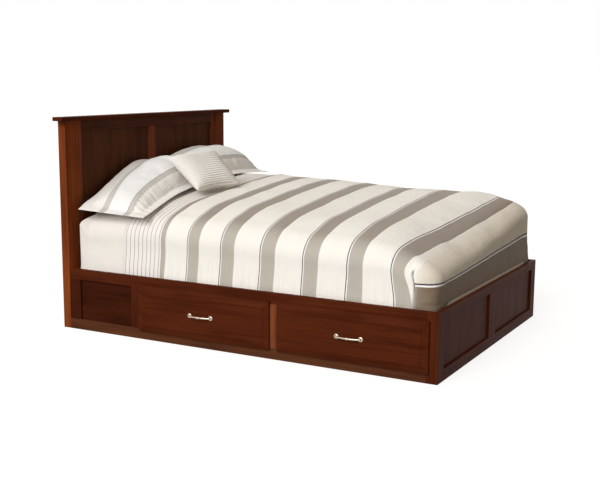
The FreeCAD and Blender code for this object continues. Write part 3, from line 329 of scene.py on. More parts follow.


# Boards that the photograph shows lighter, browner or darker than the rest, partly by their own stain
# and partly as painted light and shade: a name, and parts of the stain's red, green and blue
LIGHT, PALE = ("light", (2.7, 3.0, 2.25)), ("pale", (2.5, 3.4, 3.8))
BROWN, DEEP = ("brown", (1.15, 1.9, 2.6)), ("deep", (0.62, 0.64, 0.66))
STAIN_AND_PAINTED_LIGHT_OF = {"headboard_centre_stile": PALE, "headboard_side_stiles": PALE, "headboard_top_rail": BROWN}
for side_name in SIDES:
    STAIN_AND_PAINTED_LIGHT_OF["headboard_post_" + side_name] = LIGHT
    STAIN_AND_PAINTED_LIGHT_OF["headboard_panel_" + side_name] = BROWN
    STAIN_AND_PAINTED_LIGHT_OF["side_%s_divider_stile" % side_name] = PALE
    STAIN_AND_PAINTED_LIGHT_OF["side_%s_bottom_rail" % side_name] = BROWN
    STAIN_AND_PAINTED_LIGHT_OF["side_%s_panel" % side_name] = DEEP
    STAIN_AND_PAINTED_LIGHT_OF["side_%s_head_stile" % side_name] = DEEP


class BED_OT_wood(bpy.types.Operator):
    """Stains and lacquers the headboard, the face frames and the drawer fronts"""
    bl_idname = "bed.wood"
    bl_label = "Stained wood"

    def execute(self, context):
        for along, names in GRAIN.items():
            for name in names:
                wear(name, stained(along, name))
        return {"FINISHED"}


class BED_OT_inside(bpy.types.Operator):
    """Lacquers the birch of the drawer boxes, the deck and the boards that carry it"""
    bl_idname = "bed.inside"
    bl_label = "Inner wood"

    def execute(self, context):
        for name in ["drawer_box_" + key for key in DRAWERS]:
            wear(name, birch("Y"))
        for name in ("partition_foot", "partition_middle", "partition_head", "mattress_deck"):
            wear(name, birch("X"))
        return {"FINISHED"}


# Metal

def plated(name, tone, roughness, brush):
    """Plated steel: one even metal colour, its gloss broken by fine lines of brushing."""
    material, tree, shader = new_finish(name, Metallic=1.0, Roughness=roughness)
    place = add(tree, "ShaderNodeTexCoord").outputs["Object"]
    lines = add(tree, "ShaderNodeMapping", {"Vector": place, "Scale": brush})
    grain = add(tree, "ShaderNodeTexNoise", {"Vector": lines.outputs[0], "Scale": 1.0, "Detail": 3.0})
    clouds = add(tree, "ShaderNodeTexNoise", {"Vector": place, "Scale": 60.0, "Detail": 2.0})
    low = [0.82 * value for value in tone[:3]] + [1.0]
    shade = add(tree, "ShaderNodeMix", {0: clouds.outputs["Fac"], 6: low, 7: tone}, data_type="RGBA")
    tree.links.new(shade.outputs[2], shader.inputs["Base Color"])
    gloss = add(tree, "ShaderNodeMapRange", {"Value": grain.outputs["Fac"], "To Min": roughness - 0.06,
                                             "To Max": roughness + 0.08})
    tree.links.new(gloss.outputs[0], shader.inputs["Roughness"])
    relief = add(tree, "ShaderNodeBump", {"Strength": 0.15, "Distance": 0.0001,
                                          "Height": grain.outputs["Fac"]})
    tree.links.new(relief.outputs[0], shader.inputs["Normal"])
    return material


BRUSH_ALONG_Y = (1 / 0.0004, 1 / 0.02, 1 / 0.0004)
ROLLED_ALONG_X = (1 / 0.03, 1 / 0.0006, 1 / 0.0006)


class BED_OT_metal(bpy.types.Operator):
    """Plates the drawer pulls, the slides and the bed bolts"""
    bl_idname = "bed.metal"
    bl_label = "Metal"

    def execute(self, context):
        finish = context.scene.bed_metal
        # Satin nickel: warm grey with a broad soft highlight
        pull = plated("satin_nickel_plate", finish.nickel, 0.30, BRUSH_ALONG_Y)
        # Bright zinc on rolled steel: cool and a little streaky
        slide = plated("zinc_plated_steel", finish.zinc, 0.34, ROLLED_ALONG_X)
        bolt = plated("dull_zinc_bolt_steel", finish.bolt, 0.42, ROLLED_ALONG_X)
        for key in DRAWERS:
            wear("drawer_pull_" + key, pull)
            wear("slide_inner_" + key, slide)
            wear("slide_middle_" + key, slide)
        wear("slide_outer_members", slide)
        wear("bed_bolts", bolt)
        return {"FINISHED"}


# Bedding

def smooth(start, end, value):
    """0 at start and 1 at end, eased."""
    t = np.clip((value - start) / (end - start), 0, 1)
    return t * t * (3 - 2 * t)


def through(places, values, t):
    """A smooth curve through values at their places."""
    places, values = np.asarray(places, float), np.asarray(values, float)
    slopes = np.gradient(values, places)
    i = np.clip(np.searchsorted(places, t) - 1, 0, len(places) - 2)
    gap = places[i + 1] - places[i]
    s = (t - places[i]) / gap
    return (values[i] * (1 + 2 * s) * (1 - s) ** 2 + slopes[i] * gap * s * (1 - s) ** 2
            + values[i + 1] * s * s * (3 - 2 * s) + slopes[i + 1] * gap * s * s * (s - 1))


def crown(x, y):
    """Height of the made bed's top at a place."""
    fall = through(*zip(*FALL_ALONG), y - FOOT_FACE) + through(*zip(*FALL_ACROSS), x)
    share = through(*zip(*FOOT_SHARE), np.clip(y - FOOT_FACE, FOOT_SHARE[0][0], FOOT_SHARE[-1][0]))
    at_head = HEAD_LIFT * smooth(0.30, 0.66, x) * smooth(HEAD_LIFT_FROM, HEAD_LIFT_TO, y)
    return COVER_HIGH.z - fall + through(*zip(*FOOT_LIFT), x) * share + at_head


def new_mesh(name, points, faces, finish):
    """A smooth-shaded mesh object with one material."""
    mesh = bpy.data.meshes.new(name)
    mesh.from_pydata([tuple(p) for p in points], [], faces)
    mesh.polygons.foreach_set("use_smooth", [True] * len(faces))
    mesh.materials.append(finish)
    thing = bpy.data.objects.new(name, mesh)
    bpy.context.collection.objects.link(thing)
    return thing


def positions(mesh, kind="co"):
    """All the points or normals of a mesh, one row each."""
    values = np.zeros(len(mesh.vertices) * 3)
    mesh.vertices.foreach_get(kind, values)
    return values.reshape(-1, 3)


def place_points(mesh, points):
    """Moves all the points of a mesh."""
    mesh.vertices.foreach_set("co", np.asarray(points, float).ravel())
    mesh.update()


def note(mesh, name, values, kind="FLOAT"):
    """A value or a vector at each point of a mesh, for its material."""
    layer = mesh.attributes.new(name, kind, "POINT")
    layer.data.foreach_set("value" if kind == "FLOAT" else "vector", np.asarray(values, float).ravel())


def noted(mesh, name):
    """The values noted at each point of a mesh."""
    values = np.zeros(len(mesh.vertices))
    mesh.attributes[name].data.foreach_get("value", values)
    return values


def baked(thing):
    """Its modifiers made real."""
    graph = bpy.context.evaluated_depsgraph_get()
    mesh = bpy.data.meshes.new_from_object(thing.evaluated_get(graph))
    old = thing.data
    thing.modifiers.clear()
    thing.data = mesh
    mesh.name = old.name
    bpy.data.meshes.remove(old)
    return thing


def ripple(points, size, seed):
    """Smooth noise at each point, about -1 to 1; size is the wavelength on each axis."""
    scaled = points / np.asarray(size, float) + seed
    return np.array([noise.noise(Vector(p)) for p in scaled])


def corner_path(side, foot, corner, end_x, ways):
    """Plan points from the fold round the near foot corner to the foot, at shares of that way."""
    turns = math.pi * (1 + np.linspace(0, 0.5, 13))
    x = np.concatenate([[-side], -side + corner * (1 + np.cos(turns)), [end_x]])
    y = np.concatenate([[FOLD_Y], foot + corner * (1 + np.sin(turns)), [foot]])
    run = np.append(0, np.cumsum(np.hypot(np.diff(x), np.diff(y))))
    return [(np.interp(way * run[-1], run, x), np.interp(way * run[-1], run, y)) for way in ways]


# How far before the fold the last columns of a side hang, and at which shares of the way round
# the corner the wrapped ones do
BEFORE_FOLD = (0.027, 0.020, 0.0155, 0.012, 0.009, 0.0065, 0.0045, 0.0025, 0.001, 0.0003)
ROUND_CORNER = np.append((0.004, 0.012, 0.024, 0.045, 0.075, 0.11), np.linspace(0.15, 0.95, 13))
LAST_WALL = 0.034             # the regular columns of a side end this far before the fold
WALLS_GIVE_WAY = 0.13
HEAD_STEPS = 6                # steps round each head corner


def bed_plan(side, foot, inset, xs, ys, head, head_round):
    """The columns that hang round the bed: for each the grid point where it starts, its place
    there, its outer places above and below, and its kind."""
    wide = len(xs)
    bottom = (len(ys) - 1) * wide
    high_side, high_foot = side - LEAN_SIDE, foot + LEAN_FOOT
    before = [((-high_side, FOLD_Y + step), (-side, FOLD_Y + step), "side") for step in BEFORE_FOLD]
    near, far = [before + [(high, low, "wrap") for high, low in zip(
        corner_path(high_side, high_foot, corner - inset, xs[0], ROUND_CORNER),
        corner_path(side, foot, CORNER_LOW - inset / 2, xs[0], ROUND_CORNER))]
        for corner in (CORNER_HIGH, CORNER_FAR)]
    # The last columns of the sides make way for those just before the fold
    walls = ys + (FOLD_Y + LAST_WALL - ys[-1]) * smooth(FOLD_Y + WALLS_GIVE_WAY, ys[-1], ys)
    plan = [(i * wide, (xs[0], ys[i]), (-high_side, y), (-side, y), "side") for i, y in enumerate(walls)]
    plan += [(bottom, (xs[0], ys[-1]), high, low, kind) for high, low, kind in near]
    plan += [(bottom + j, (x, ys[-1]), (x, high_foot), (x, foot), "foot") for j, x in enumerate(xs)]
    plan += [(bottom + wide - 1, (xs[-1], ys[-1]), (-high[0], high[1]), (-low[0], low[1]), kind)
             for high, low, kind in reversed(far)]
    plan += [(i * wide + wide - 1, (xs[-1], ys[i]), (high_side, walls[i]), (side, walls[i]), "side")
             for i in range(len(ys) - 1, -1, -1)]
    if head_round:
        reach = side - xs[-1]
        angles = [math.pi / 2 * k / HEAD_STEPS for k in range(1, HEAD_STEPS)]
        for angle in angles:
            place = (xs[-1] + reach * math.cos(angle) ** SQUARE,
                     ys[0] + head_round * math.sin(angle) ** SQUARE)
            plan.append((wide - 1, (xs[-1], ys[0]), place, place, "head"))
        plan += [(j, (xs[j], ys[0]), (xs[j], head), (xs[j], head), "head") for j in range(wide - 1, -1, -1)]
        for angle in angles:
            place = (xs[0] - reach * math.sin(angle) ** SQUARE,
                     ys[0] + head_round * math.cos(angle) ** SQUARE)
            plan.append((0, (xs[0], ys[0]), place, place, "head"))
    return plan


SHORT = 0.001                 # step over which the top's slope is taken
DROP_TURNS = (FOOT_FACE + 0.50, FOOT_FACE + 0.25)   # along the bed, the sides' drop turns into the foot's
HEAD_DROP = 1.2               # drop of the rounded head edge, as a part of its round
TURN_ROUND = 0.35             # the cloth round a corner counts as the foot's from this part of its fall
WRAP_HEM = 0.325              # height of the hem's line on the cloth round a corner
LINE_TURNS = STRIPES[8][0]    # cloth place where the stripes start to follow the foot's heights
PAST_HEM = 0.1


def bed_form(inset, head, low, spacing, rows, head_round=0):
    """The outside of the made bed, drawn in by inset, as points, faces and distances down the cloth.
    Its top is a grid; round its sides one column of points at each place turns down over the
    shoulder and hangs. head_round closes it at the head and below, as a mattress."""
    side = COVER_HIGH.x - inset
    foot = COVER_LOW.y + inset
    inner_x = COVER_HIGH.x - SHOULDER_SIDE
    inner_y = COVER_LOW.y + SHOULDER_FOOT
    top_head = head - head_round
    xs = np.linspace(-inner_x, inner_x, round(2 * inner_x / spacing))
    ys = np.linspace(top_head, inner_y, round((top_head - inner_y) / spacing))
    wide, deep = len(xs), len(ys)
    grid_x, grid_y = np.meshgrid(xs, ys)
    points = [np.stack([grid_x, grid_y, crown(grid_x, grid_y) - inset], -1).reshape(-1, 3)]
    down = [(LINE_START + FOOT_FACE - grid_y).ravel()]
    faces = [(i * wide + j, (i + 1) * wide + j, (i + 1) * wide + j + 1, i * wide + j + 1)
             for i in range(deep - 1) for j in range(wide - 1)]
    plan = bed_plan(side, foot, inset, xs, ys, head, head_round)

    start = wide * deep
    s = np.linspace(0, 1, rows // 2 + 1)[1:]
    ease, lead, tail = s * s * (3 - 2 * s), s ** 3 - 2 * s ** 2 + s, s ** 3 - s ** 2
    hang = rows - len(s)
    laid = LINE_START + FOOT_FACE
    for top, origin, high, lower, kind in plan:
        origin, high, lower = np.array(origin), np.array(high), np.array(lower)
        reach = np.linalg.norm(high - origin)
        way = (high - origin) / reach
        height = crown(*origin) - inset
        slope = (crown(*origin) - crown(*(origin + way * SHORT))) / SHORT
        at_foot = smooth(*DROP_TURNS, origin[1])
        drop = SHOULDER_DROP + (FOOT_DROP - SHOULDER_DROP) * at_foot - inset / 2
        if kind == "head":
            drop = head_round * HEAD_DROP - inset / 2
        fall = math.pi / 2
        out = np.concatenate([reach * (ease + fall * lead), np.full(hang, reach)])
        z = height + np.concatenate([-drop * ease - fall * slope * reach * lead - fall * drop * tail,
                                     -drop + (drop + low - height) * np.linspace(0, 1, hang + 1)[1:]])
        spread = smooth(WALL_TOP, RAIL_TOP, z)
        x = origin[0] + way[0] * out + (lower - high)[0] * spread
        y = origin[1] + way[1] * out + (lower - high)[1] * spread
        arc = np.cumsum(np.hypot(np.diff(np.append(0, out)), np.diff(np.append(height, z))))
        over = {"foot": 1.0, "wrap": smooth(0.0, TURN_ROUND, np.arange(1, rows + 1) / rows)}.get(kind, 0.0)
        place = (laid - y) * (1 - over) + (laid - origin[1] + arc) * over
        if kind in ("foot", "wrap"):
            line = np.interp(-np.interp(origin[0], *zip(*FOOT_LINE_HEIGHTS)), -z, place)
            low_end = WRAP_HEM if kind == "wrap" else np.interp(origin[0], *zip(*FOOT_HEM_HEIGHTS))
            hem = np.interp(-low_end, -z, place)
            place = np.where(place < LINE_TURNS, place,
                             np.interp(place, (LINE_TURNS, line, hem, hem + PAST_HEM),
                                       (LINE_TURNS, FOOT_LINE, FOOT_HEM, FOOT_HEM + PAST_HEM)))
        points.append(np.stack([x, y, z], -1))
        down.append(place)

    def corner_of(k, r):
        return plan[k][0] if r == 0 else start + k * rows + r - 1

    count = len(plan)
    for k in range(count if head_round else count - 1):
        n = (k + 1) % count
        if plan[k][0] == plan[n][0]:
            faces.append((plan[k][0], corner_of(k, 1), corner_of(n, 1)))
        else:
            faces.append((corner_of(k, 0), corner_of(k, 1), corner_of(n, 1), corner_of(n, 0)))
        for r in range(1, rows):
            faces.append((corner_of(k, r), corner_of(k, r + 1), corner_of(n, r + 1), corner_of(n, r)))
    if head_round:
        faces.append([corner_of(k, rows) for k in range(count - 1, -1, -1)])
    return np.concatenate(points), faces, np.concatenate(down)


# How far the stripes stray from square to the bed near the foot
STRAY_NEAR, STRAY_FAR, STRAY_FOLD = 0.028, -0.050, 0.022


def stripe_of(points, down):
    """Stripe periods at each point of the comforter."""
    x, y, z = points.T
    hangs = smooth(RAIL_TOP, 0.52, z)
    stray = np.interp(x, (-COVER_HIGH.x, COVER_HIGH.x), (STRAY_NEAR, STRAY_FAR))
    stray = stray * smooth(FOOT_FACE + 0.49, FOOT_FACE + 0.26, y)
    at_fold = smooth(FOOT_FACE + 0.26, FOOT_FACE + 0.19, y) * smooth(0.60, 0.74, np.abs(x))
    on_front = smooth(FOOT_LINE - 0.2, FOOT_LINE - 0.05, down)
    return np.interp(down + (stray + STRAY_FOLD * at_fold) * hangs * (1 - on_front), *zip(*STRIPES))


def cloth_place(points):
    """Where each point lies on its cloth, for the weave: along the bed, and down where it hangs."""
    x, y, z = points.T
    hang = np.maximum(WALL_TOP - z, 0)
    on_foot = smooth(FOLD_Y, FOOT_FACE + 0.03, y)
    return np.stack([x + np.sign(x) * hang * (1 - on_foot), LINE_START + FOOT_FACE - y + hang * on_foot,
                     0 * x], -1)


ON_WALL = (0.70, 0.74)        # places across where the folds fade in
HOLLOW_TOP = (0.525, 0.500)   # heights where the painted shade in the fold's hollow fades in, downwards
HOLLOW_HALF = 0.0030          # its half width below, and how much more it has above
HOLLOW_MORE = 0.0036


def on_wall(points):
    """0 on the bed's top and 1 on its hanging sides."""
    return smooth(*ON_WALL, np.abs(points[:, 0]))


def tucked(points):
    """How deep in the hollow of the corner fold each point lies, 0 to 1: where the hollow's painted shade
    goes.
    """
    past = FOLD_Y - points[:, 1]
    wide = HOLLOW_HALF + HOLLOW_MORE * smooth(0.40, 0.50, points[:, 2])
    below = smooth(*HOLLOW_TOP, points[:, 2]) * on_wall(points)
    return np.exp(-((past + wide) / wide) ** 4) * below


FOLD_TOP = (0.535, 0.470)     # heights where the corner fold fades in, downwards
LIP, CREST, CREST_AT = 0.0030, 0.0025, 0.006     # the wrapped cloth stands out, most at its crest
LIP_FLAT, LIP_FADE = 0.02, 0.06
GROOVE_HALF, GROOVE_DEEP, GROOVE_END = 0.0042, 0.011, 0.0005
PINCH_AT, PINCH_HALF = 0.485, 0.035              # near this height the groove is wider and deeper
PINCH_WIDER, PINCH_DEEPER = 0.0040, 0.009
VALLEY_AT, VALLEY_HALF, VALLEY_DEEP = 0.040, 0.013, 0.0055


def corner_fold(points):
    """At each foot corner, how far the wrapped cloth stands out over the side's, the groove
    where it ends, and a soft second valley beside it."""
    past = FOLD_Y - points[:, 1]
    wall = smooth(*FOLD_TOP, points[:, 2]) * on_wall(points)
    lip = (past > 0) * (LIP + CREST * np.exp(-((past - CREST_AT) / CREST_AT) ** 2))
    fade = np.exp(-np.maximum(past - LIP_FLAT, 0) / LIP_FADE)
    pinch = np.exp(-((points[:, 2] - PINCH_AT) / PINCH_HALF) ** 2)
    width = GROOVE_HALF + PINCH_WIDER * pinch
    groove = -(GROOVE_DEEP + PINCH_DEEPER * pinch) * np.exp(-((past + width) / width) ** 2)
    groove = groove * (past <= GROOVE_END)
    valley = -VALLEY_DEEP * np.exp(-((past + VALLEY_AT) / VALLEY_HALF) ** 2)
    return wall * (lip * fade + groove + valley)


FOLD_SLANT = 0.020            # the fold starts this much nearer the head, above
SLANT_REACH = 0.05
SLANT_IN, SLANT_OUT = (0.44, 0.52), (0.60, 0.54)     # heights where it fades in and out, upwards


def slanted(points):
    """The points with those beside the fold drawn towards the head, above, on the hanging cloth."""
    x, y, z = points.T
    beside = np.exp(-((y - FOLD_Y) / SLANT_REACH) ** 2) * smooth(0.70, 0.75, np.abs(x))
    moved = points.copy()
    moved[:, 1] += FOLD_SLANT * smooth(*SLANT_IN, z) * smooth(*SLANT_OUT, z) * beside
    return moved


def front_creases(points):
    """Creases of the wrapped cloth above the rail: short and level, near the corners."""
    near = smooth(0.52, 0.70, np.abs(points[:, 0])) * smooth(FOOT_FACE + 0.12, FOOT_FACE + 0.09, points[:, 1])
    return 0.0055 * ripple(points, (0.09, 0.05, 0.020), 4.6) * near * smooth(0.47, 0.44, points[:, 2])


# Cloth weaves

def woven(tree, shader, place, pitch, depth, soft, amount):
    """Bump of a plain weave over slow unevenness; place is a cloth place in metres."""
    turned = add(tree, "ShaderNodeVectorMath", {0: place, 1: [math.tau / pitch] * 3},
                 operation="MULTIPLY")
    parts = add(tree, "ShaderNodeSeparateXYZ", {0: turned.outputs[0]})
    warp = add(tree, "ShaderNodeMath", {0: parts.outputs[0]}, operation="SINE")
    weft = add(tree, "ShaderNodeMath", {0: parts.outputs[1]}, operation="SINE")
    cross = add(tree, "ShaderNodeMath", {0: warp.outputs[0], 1: weft.outputs[0]}, operation="MULTIPLY")
    object_place = add(tree, "ShaderNodeTexCoord").outputs["Object"]
    slow = add(tree, "ShaderNodeTexNoise", {"Vector": object_place, "Scale": 1 / soft, "Detail": 3.0,
                                            "Roughness": 0.5, "Distortion": 0.3})
    creases = add(tree, "ShaderNodeBump", {"Strength": amount, "Distance": soft * 0.12,
                                           "Height": slow.outputs["Fac"]})
    threads = add(tree, "ShaderNodeBump", {"Strength": 0.35, "Distance": depth,
                                           "Height": cross.outputs[0], "Normal": creases.outputs[0]})
    tree.links.new(threads.outputs[0], shader.inputs["Normal"])


# Heights of a drawn thread, and parts of a stripe's period: its violet line, its white line and
# its wide band end here
FINE_THREAD, COARSE_THREAD = 0.0002, 0.0003
VIOLET_END, WHITE_END, WIDE_END = 0.018, 0.040, 0.362
HOLLOW_SHADE = 0.08           # the part of the cloth's colour that is left in the fold's hollow, as painted shade
CLOTH = {"Roughness": 0.85, "Specular_IOR_Level": 0.03, "Sheen_Weight": 0.03,
         "Sheen_Roughness": 0.5, "IOR": 1.5}


def sheeting():
    """Plain woven cotton sheet: matt white, softly creased, a faint fibre sheen."""
    cloth = bpy.context.scene.bed_bedding
    material, tree, shader = new_finish("white_cotton_sheeting", **CLOTH)
    place = add(tree, "ShaderNodeAttribute", attribute_name="cloth").outputs["Vector"]
    woven(tree, shader, place, cloth.thread_pitch, FINE_THREAD, 0.14, 0.35)
    clouds = add(tree, "ShaderNodeTexNoise", {
        "Vector": add(tree, "ShaderNodeTexCoord").outputs["Object"], "Scale": 9.0, "Detail": 3.0})
    shade = [0.94 * value for value in cloth.sheet[:3]] + [1.0]
    tone = add(tree, "ShaderNodeMix", {0: clouds.outputs["Fac"], 6: shade, 7: cloth.sheet},
               data_type="RGBA")
    tree.links.new(tone.outputs[2], shader.inputs["Base Color"])
    return material


def pinstripe():
    """Woven cotton blanket: matt off-white with thin grey lines across the bed."""
    cloth = bpy.context.scene.bed_bedding
    material, tree, shader = new_finish("pinstriped_cotton_blanket", **CLOTH)
    place = add(tree, "ShaderNodeAttribute", attribute_name="cloth").outputs["Vector"]
    woven(tree, shader, place, cloth.thread_pitch * 1.5, COARSE_THREAD, 0.10, 0.35)
    down = add(tree, "ShaderNodeSeparateXYZ", {0: place}).outputs[1]
    count = add(tree, "ShaderNodeMath", {0: down, 1: cloth.pinstripe_pitch}, operation="DIVIDE")
    part = add(tree, "ShaderNodeMath", {0: count.outputs[0]}, operation="FRACT")
    tone = add(tree, "ShaderNodeValToRGB", {"Fac": part.outputs[0]}, stops=(
        "LINEAR", ((0.0, cloth.blanket), (0.40, cloth.blanket), (0.46, cloth.pinstripe),
                   (0.54, cloth.pinstripe), (0.60, cloth.blanket), (1.0, cloth.blanket))))
    tree.links.new(tone.outputs["Color"], shader.inputs["Base Color"])
    return material


def striped_sateen():
    """Quilted cotton comforter: matt cream ground and smoother sateen stripes, each after a violet
    and a white line. By place on the bed, both have painted shade at the foot, and the stripes a
    painted sheen on the sides, as the photograph shows them."""
    cloth = bpy.context.scene.bed_bedding
    material, tree, shader = new_finish("striped_cotton_sateen", **CLOTH)
    place = add(tree, "ShaderNodeAttribute", attribute_name="cloth").outputs["Vector"]
    woven(tree, shader, place, cloth.thread_pitch, FINE_THREAD, 0.055, 0.40)
    periods = add(tree, "ShaderNodeAttribute", attribute_name="stripe").outputs["Fac"]
    part = add(tree, "ShaderNodeMath", {0: periods}, operation="FRACT")
    lie = add(tree, "ShaderNodeAttribute", attribute_name="lie").outputs["Fac"]
    lines = add(tree, "ShaderNodeValToRGB", {"Fac": part.outputs[0]}, stops=(
        "CONSTANT", ((0.0, cloth.violet), (VIOLET_END, cloth.white))))
    # The cream ground has painted shade at the foot
    ground = add(tree, "ShaderNodeValToRGB", {"Fac": lie}, stops=(
        "LINEAR", ((0.0, cloth.cream_painted_foot_shade), (0.45, cloth.cream), (1.0, cloth.cream))))
    plain = add(tree, "ShaderNodeMath", {0: part.outputs[0], 1: WIDE_END}, operation="GREATER_THAN")
    tone = add(tree, "ShaderNodeMix", {0: plain.outputs[0], 6: lines.outputs["Color"],
                                       7: ground.outputs["Color"]}, data_type="RGBA")
    grain = add(tree, "ShaderNodeTexNoise", {
        "Vector": add(tree, "ShaderNodeMapping", {"Vector": place, "Scale": (1 / 0.25, 1 / 0.003, 1.0)}
                      ).outputs[0], "Scale": 1.0, "Detail": 3.0})
    streak = add(tree, "ShaderNodeMapRange", {"Value": grain.outputs["Fac"], "From Min": 0.3,
                                              "From Max": 0.7, "To Min": 0.93, "To Max": 1.05})
    # The stripes have painted shade at the foot and a painted sheen on the sides
    sateen = add(tree, "ShaderNodeValToRGB", {"Fac": lie}, stops=(
        "LINEAR", ((0.0, cloth.taupe_painted_foot_shade), (0.5, cloth.taupe), (1.0, cloth.taupe_side))))
    wide = add(tree, "ShaderNodeValToRGB", {"Fac": part.outputs[0]}, stops=(
        "CONSTANT", ((0.0, (0, 0, 0, 1)), (WHITE_END, (1, 1, 1, 1)), (WIDE_END, (0, 0, 0, 1)))))
    striped = add(tree, "ShaderNodeMix", {0: wide.outputs["Color"], 6: tone.outputs[2],
                                          7: sateen.outputs["Color"]}, data_type="RGBA")
    # The hollow of the fold has painted shade: it is drawn dark in the colour itself
    depth = add(tree, "ShaderNodeAttribute", attribute_name="tucked").outputs["Fac"]
    hollow = add(tree, "ShaderNodeMapRange", {"Value": depth, "To Min": 1.0, "To Max": HOLLOW_SHADE})
    level = add(tree, "ShaderNodeMath", {0: streak.outputs[0], 1: hollow.outputs[0]}, operation="MULTIPLY")
    base = add(tree, "ShaderNodeVectorMath", {0: striped.outputs[2], "Scale": level.outputs[0]},
               operation="SCALE")
    tree.links.new(base.outputs[0], shader.inputs["Base Color"])
    gloss = add(tree, "ShaderNodeValToRGB", {"Fac": part.outputs[0]}, stops=(
        "CONSTANT", ((0.0, (0.7, 0.7, 0.7, 1)), (WHITE_END, (0.48, 0.48, 0.48, 1)),
                     (WIDE_END, (0.85, 0.85, 0.85, 1)))))
    tree.links.new(gloss.outputs["Color"], shader.inputs["Roughness"])
    return material


# Spacing of the grids, rows of their hanging cloth, and the round of the mattress's head edge
UNDER_SPACING, UNDER_ROWS = 0.022, 30
COVER_SPACING, COVER_ROWS = 0.0125, 42
MATTRESS_ROUND = 0.055
HANG_FREE = (0.315, 0.36)     # heights between which the cloth under the comforter comes loose


class BED_OT_mattress(bpy.types.Operator):
    """Makes the mattress in its fitted sheet"""
    bl_idname = "bed.mattress"
    bl_label = "Mattress and sheet"

    def execute(self, context):
        inset = COVER_HIGH.z - MATTRESS_HIGH.z
        points, faces, _ = bed_form(inset, MATTRESS_HIGH.y, MATTRESS_LOW.z, UNDER_SPACING, UNDER_ROWS,
                                    head_round=MATTRESS_ROUND)
        thing = new_mesh("mattress_sheet", points, faces, sheeting())
        note(thing.data, "cloth", cloth_place(points), "FLOAT_VECTOR")
        out = positions(thing.data, "normal")
        lift = 0.0022 * ripple(points, (0.20, 0.13, 0.30), 3.1)
        lift += 0.0012 * ripple(points, (0.09, 0.05, 0.2), 8.4)
        lift = (lift - 0.002) * smooth(*HANG_FREE, points[:, 2]) + np.minimum(corner_fold(points), 0)
        place_points(thing.data, slanted(points + out * lift[:, None]))
        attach(thing, "bed_frame")
        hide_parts("mattress")
        return {"FINISHED"}


class BED_OT_blanket(bpy.types.Operator):
    """Makes the pinstriped blanket under the comforter"""
    bl_idname = "bed.blanket"
    bl_label = "Blanket"

    def execute(self, context):
        cloth = context.scene.bed_bedding
        inset = COVER_HIGH.z - BLANKET_HIGH.z
        points, faces, _ = bed_form(inset, BLANKET_HIGH.y, BLANKET_LOW.z, UNDER_SPACING, UNDER_ROWS)
        thing = new_mesh("blanket_pinstriped", points, faces, pinstripe())
        note(thing.data, "cloth", cloth_place(points), "FLOAT_VECTOR")
        out = positions(thing.data, "normal")
        lift = 0.0016 * ripple(points, (0.25, 0.10, 0.30), 5.7) * smooth(*HANG_FREE, points[:, 2])
        lift += np.minimum(corner_fold(points), 0)
        place_points(thing.data, slanted(points + out * lift[:, None]))
        wall = thing.modifiers.new("thickness", "SOLIDIFY")
        wall.thickness = cloth.blanket_thickness
        wall.offset = -1
        baked(thing)
        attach(thing, "bed_frame")
        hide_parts("blanket")
        return {"FINISHED"}


IN_FRAME = 0.345              # below this the comforter hangs inside the frame
FRAME_GAP = 0.001             # and stays this far inside its own solid there


class BED_OT_comforter(bpy.types.Operator):
    """Makes the striped comforter with its corner folds"""
    bl_idname = "bed.comforter"
    bl_label = "Comforter"

    def execute(self, context):
        cloth = context.scene.bed_bedding
        points, faces, down = bed_form(0.0, COVER_HIGH.y, COVER_LOW.z, COVER_SPACING, COVER_ROWS)
        thing = new_mesh("comforter_striped", points, faces, striped_sateen())
        note(thing.data, "cloth", cloth_place(points), "FLOAT_VECTOR")
        note(thing.data, "stripe", stripe_of(points, down))
        # Where the comforter's colour has painted light: 0 at the foot, for painted shade, and 1 on the
        # sides, for a painted sheen
        on_side = smooth(0.60, 0.76, np.abs(points[:, 0]))
        on_side *= smooth(FOLD_Y - 0.02, FOLD_Y + 0.01, points[:, 1])
        at_foot = smooth(FOOT_FACE + 0.20, FOOT_FACE + 0.06, points[:, 1]) * smooth(1.0, 0.2, on_side)
        note(thing.data, "lie", 0.5 + 0.5 * on_side - 0.5 * at_foot)
        # The hollow of each corner fold, noted for its painted shade
        note(thing.data, "tucked", tucked(points))
        out = positions(thing.data, "normal")
        free = smooth(0.335, 0.40, points[:, 2])
        lift = 0.0032 * ripple(points, (0.16, 0.11, 0.22), 1.3)
        lift += 0.0016 * ripple(points, (0.06, 0.045, 0.09), 6.2)
        lift -= 0.0025
        near_hem = smooth(0.012, 0.0, COVER_HIGH.y - points[:, 1])
        folds = front_creases(points) + corner_fold(points)
        lift = lift * free * (1 - near_hem) - 0.004 * near_hem + folds
        moved = points + out * lift[:, None]
        moved = slanted(moved)
        inside = moved[:, 2] < IN_FRAME
        limit = COVER_HIGH.x - FRAME_GAP
        moved[inside, 0] = np.clip(moved[inside, 0], -limit, limit)
        place_points(thing.data, moved)
        thick = thing.vertex_groups.new(name="thick")
        for index, weight in enumerate(1 - 0.8 * near_hem):
            thick.add([index], float(weight), "REPLACE")
        wall = thing.modifiers.new("thickness", "SOLIDIFY")
        wall.thickness = cloth.comforter_thickness
        wall.offset = -1
        wall.vertex_group = "thick"
        baked(thing)
        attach(thing, "bed_frame")
        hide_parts("comforter")
        return {"FINISHED"}


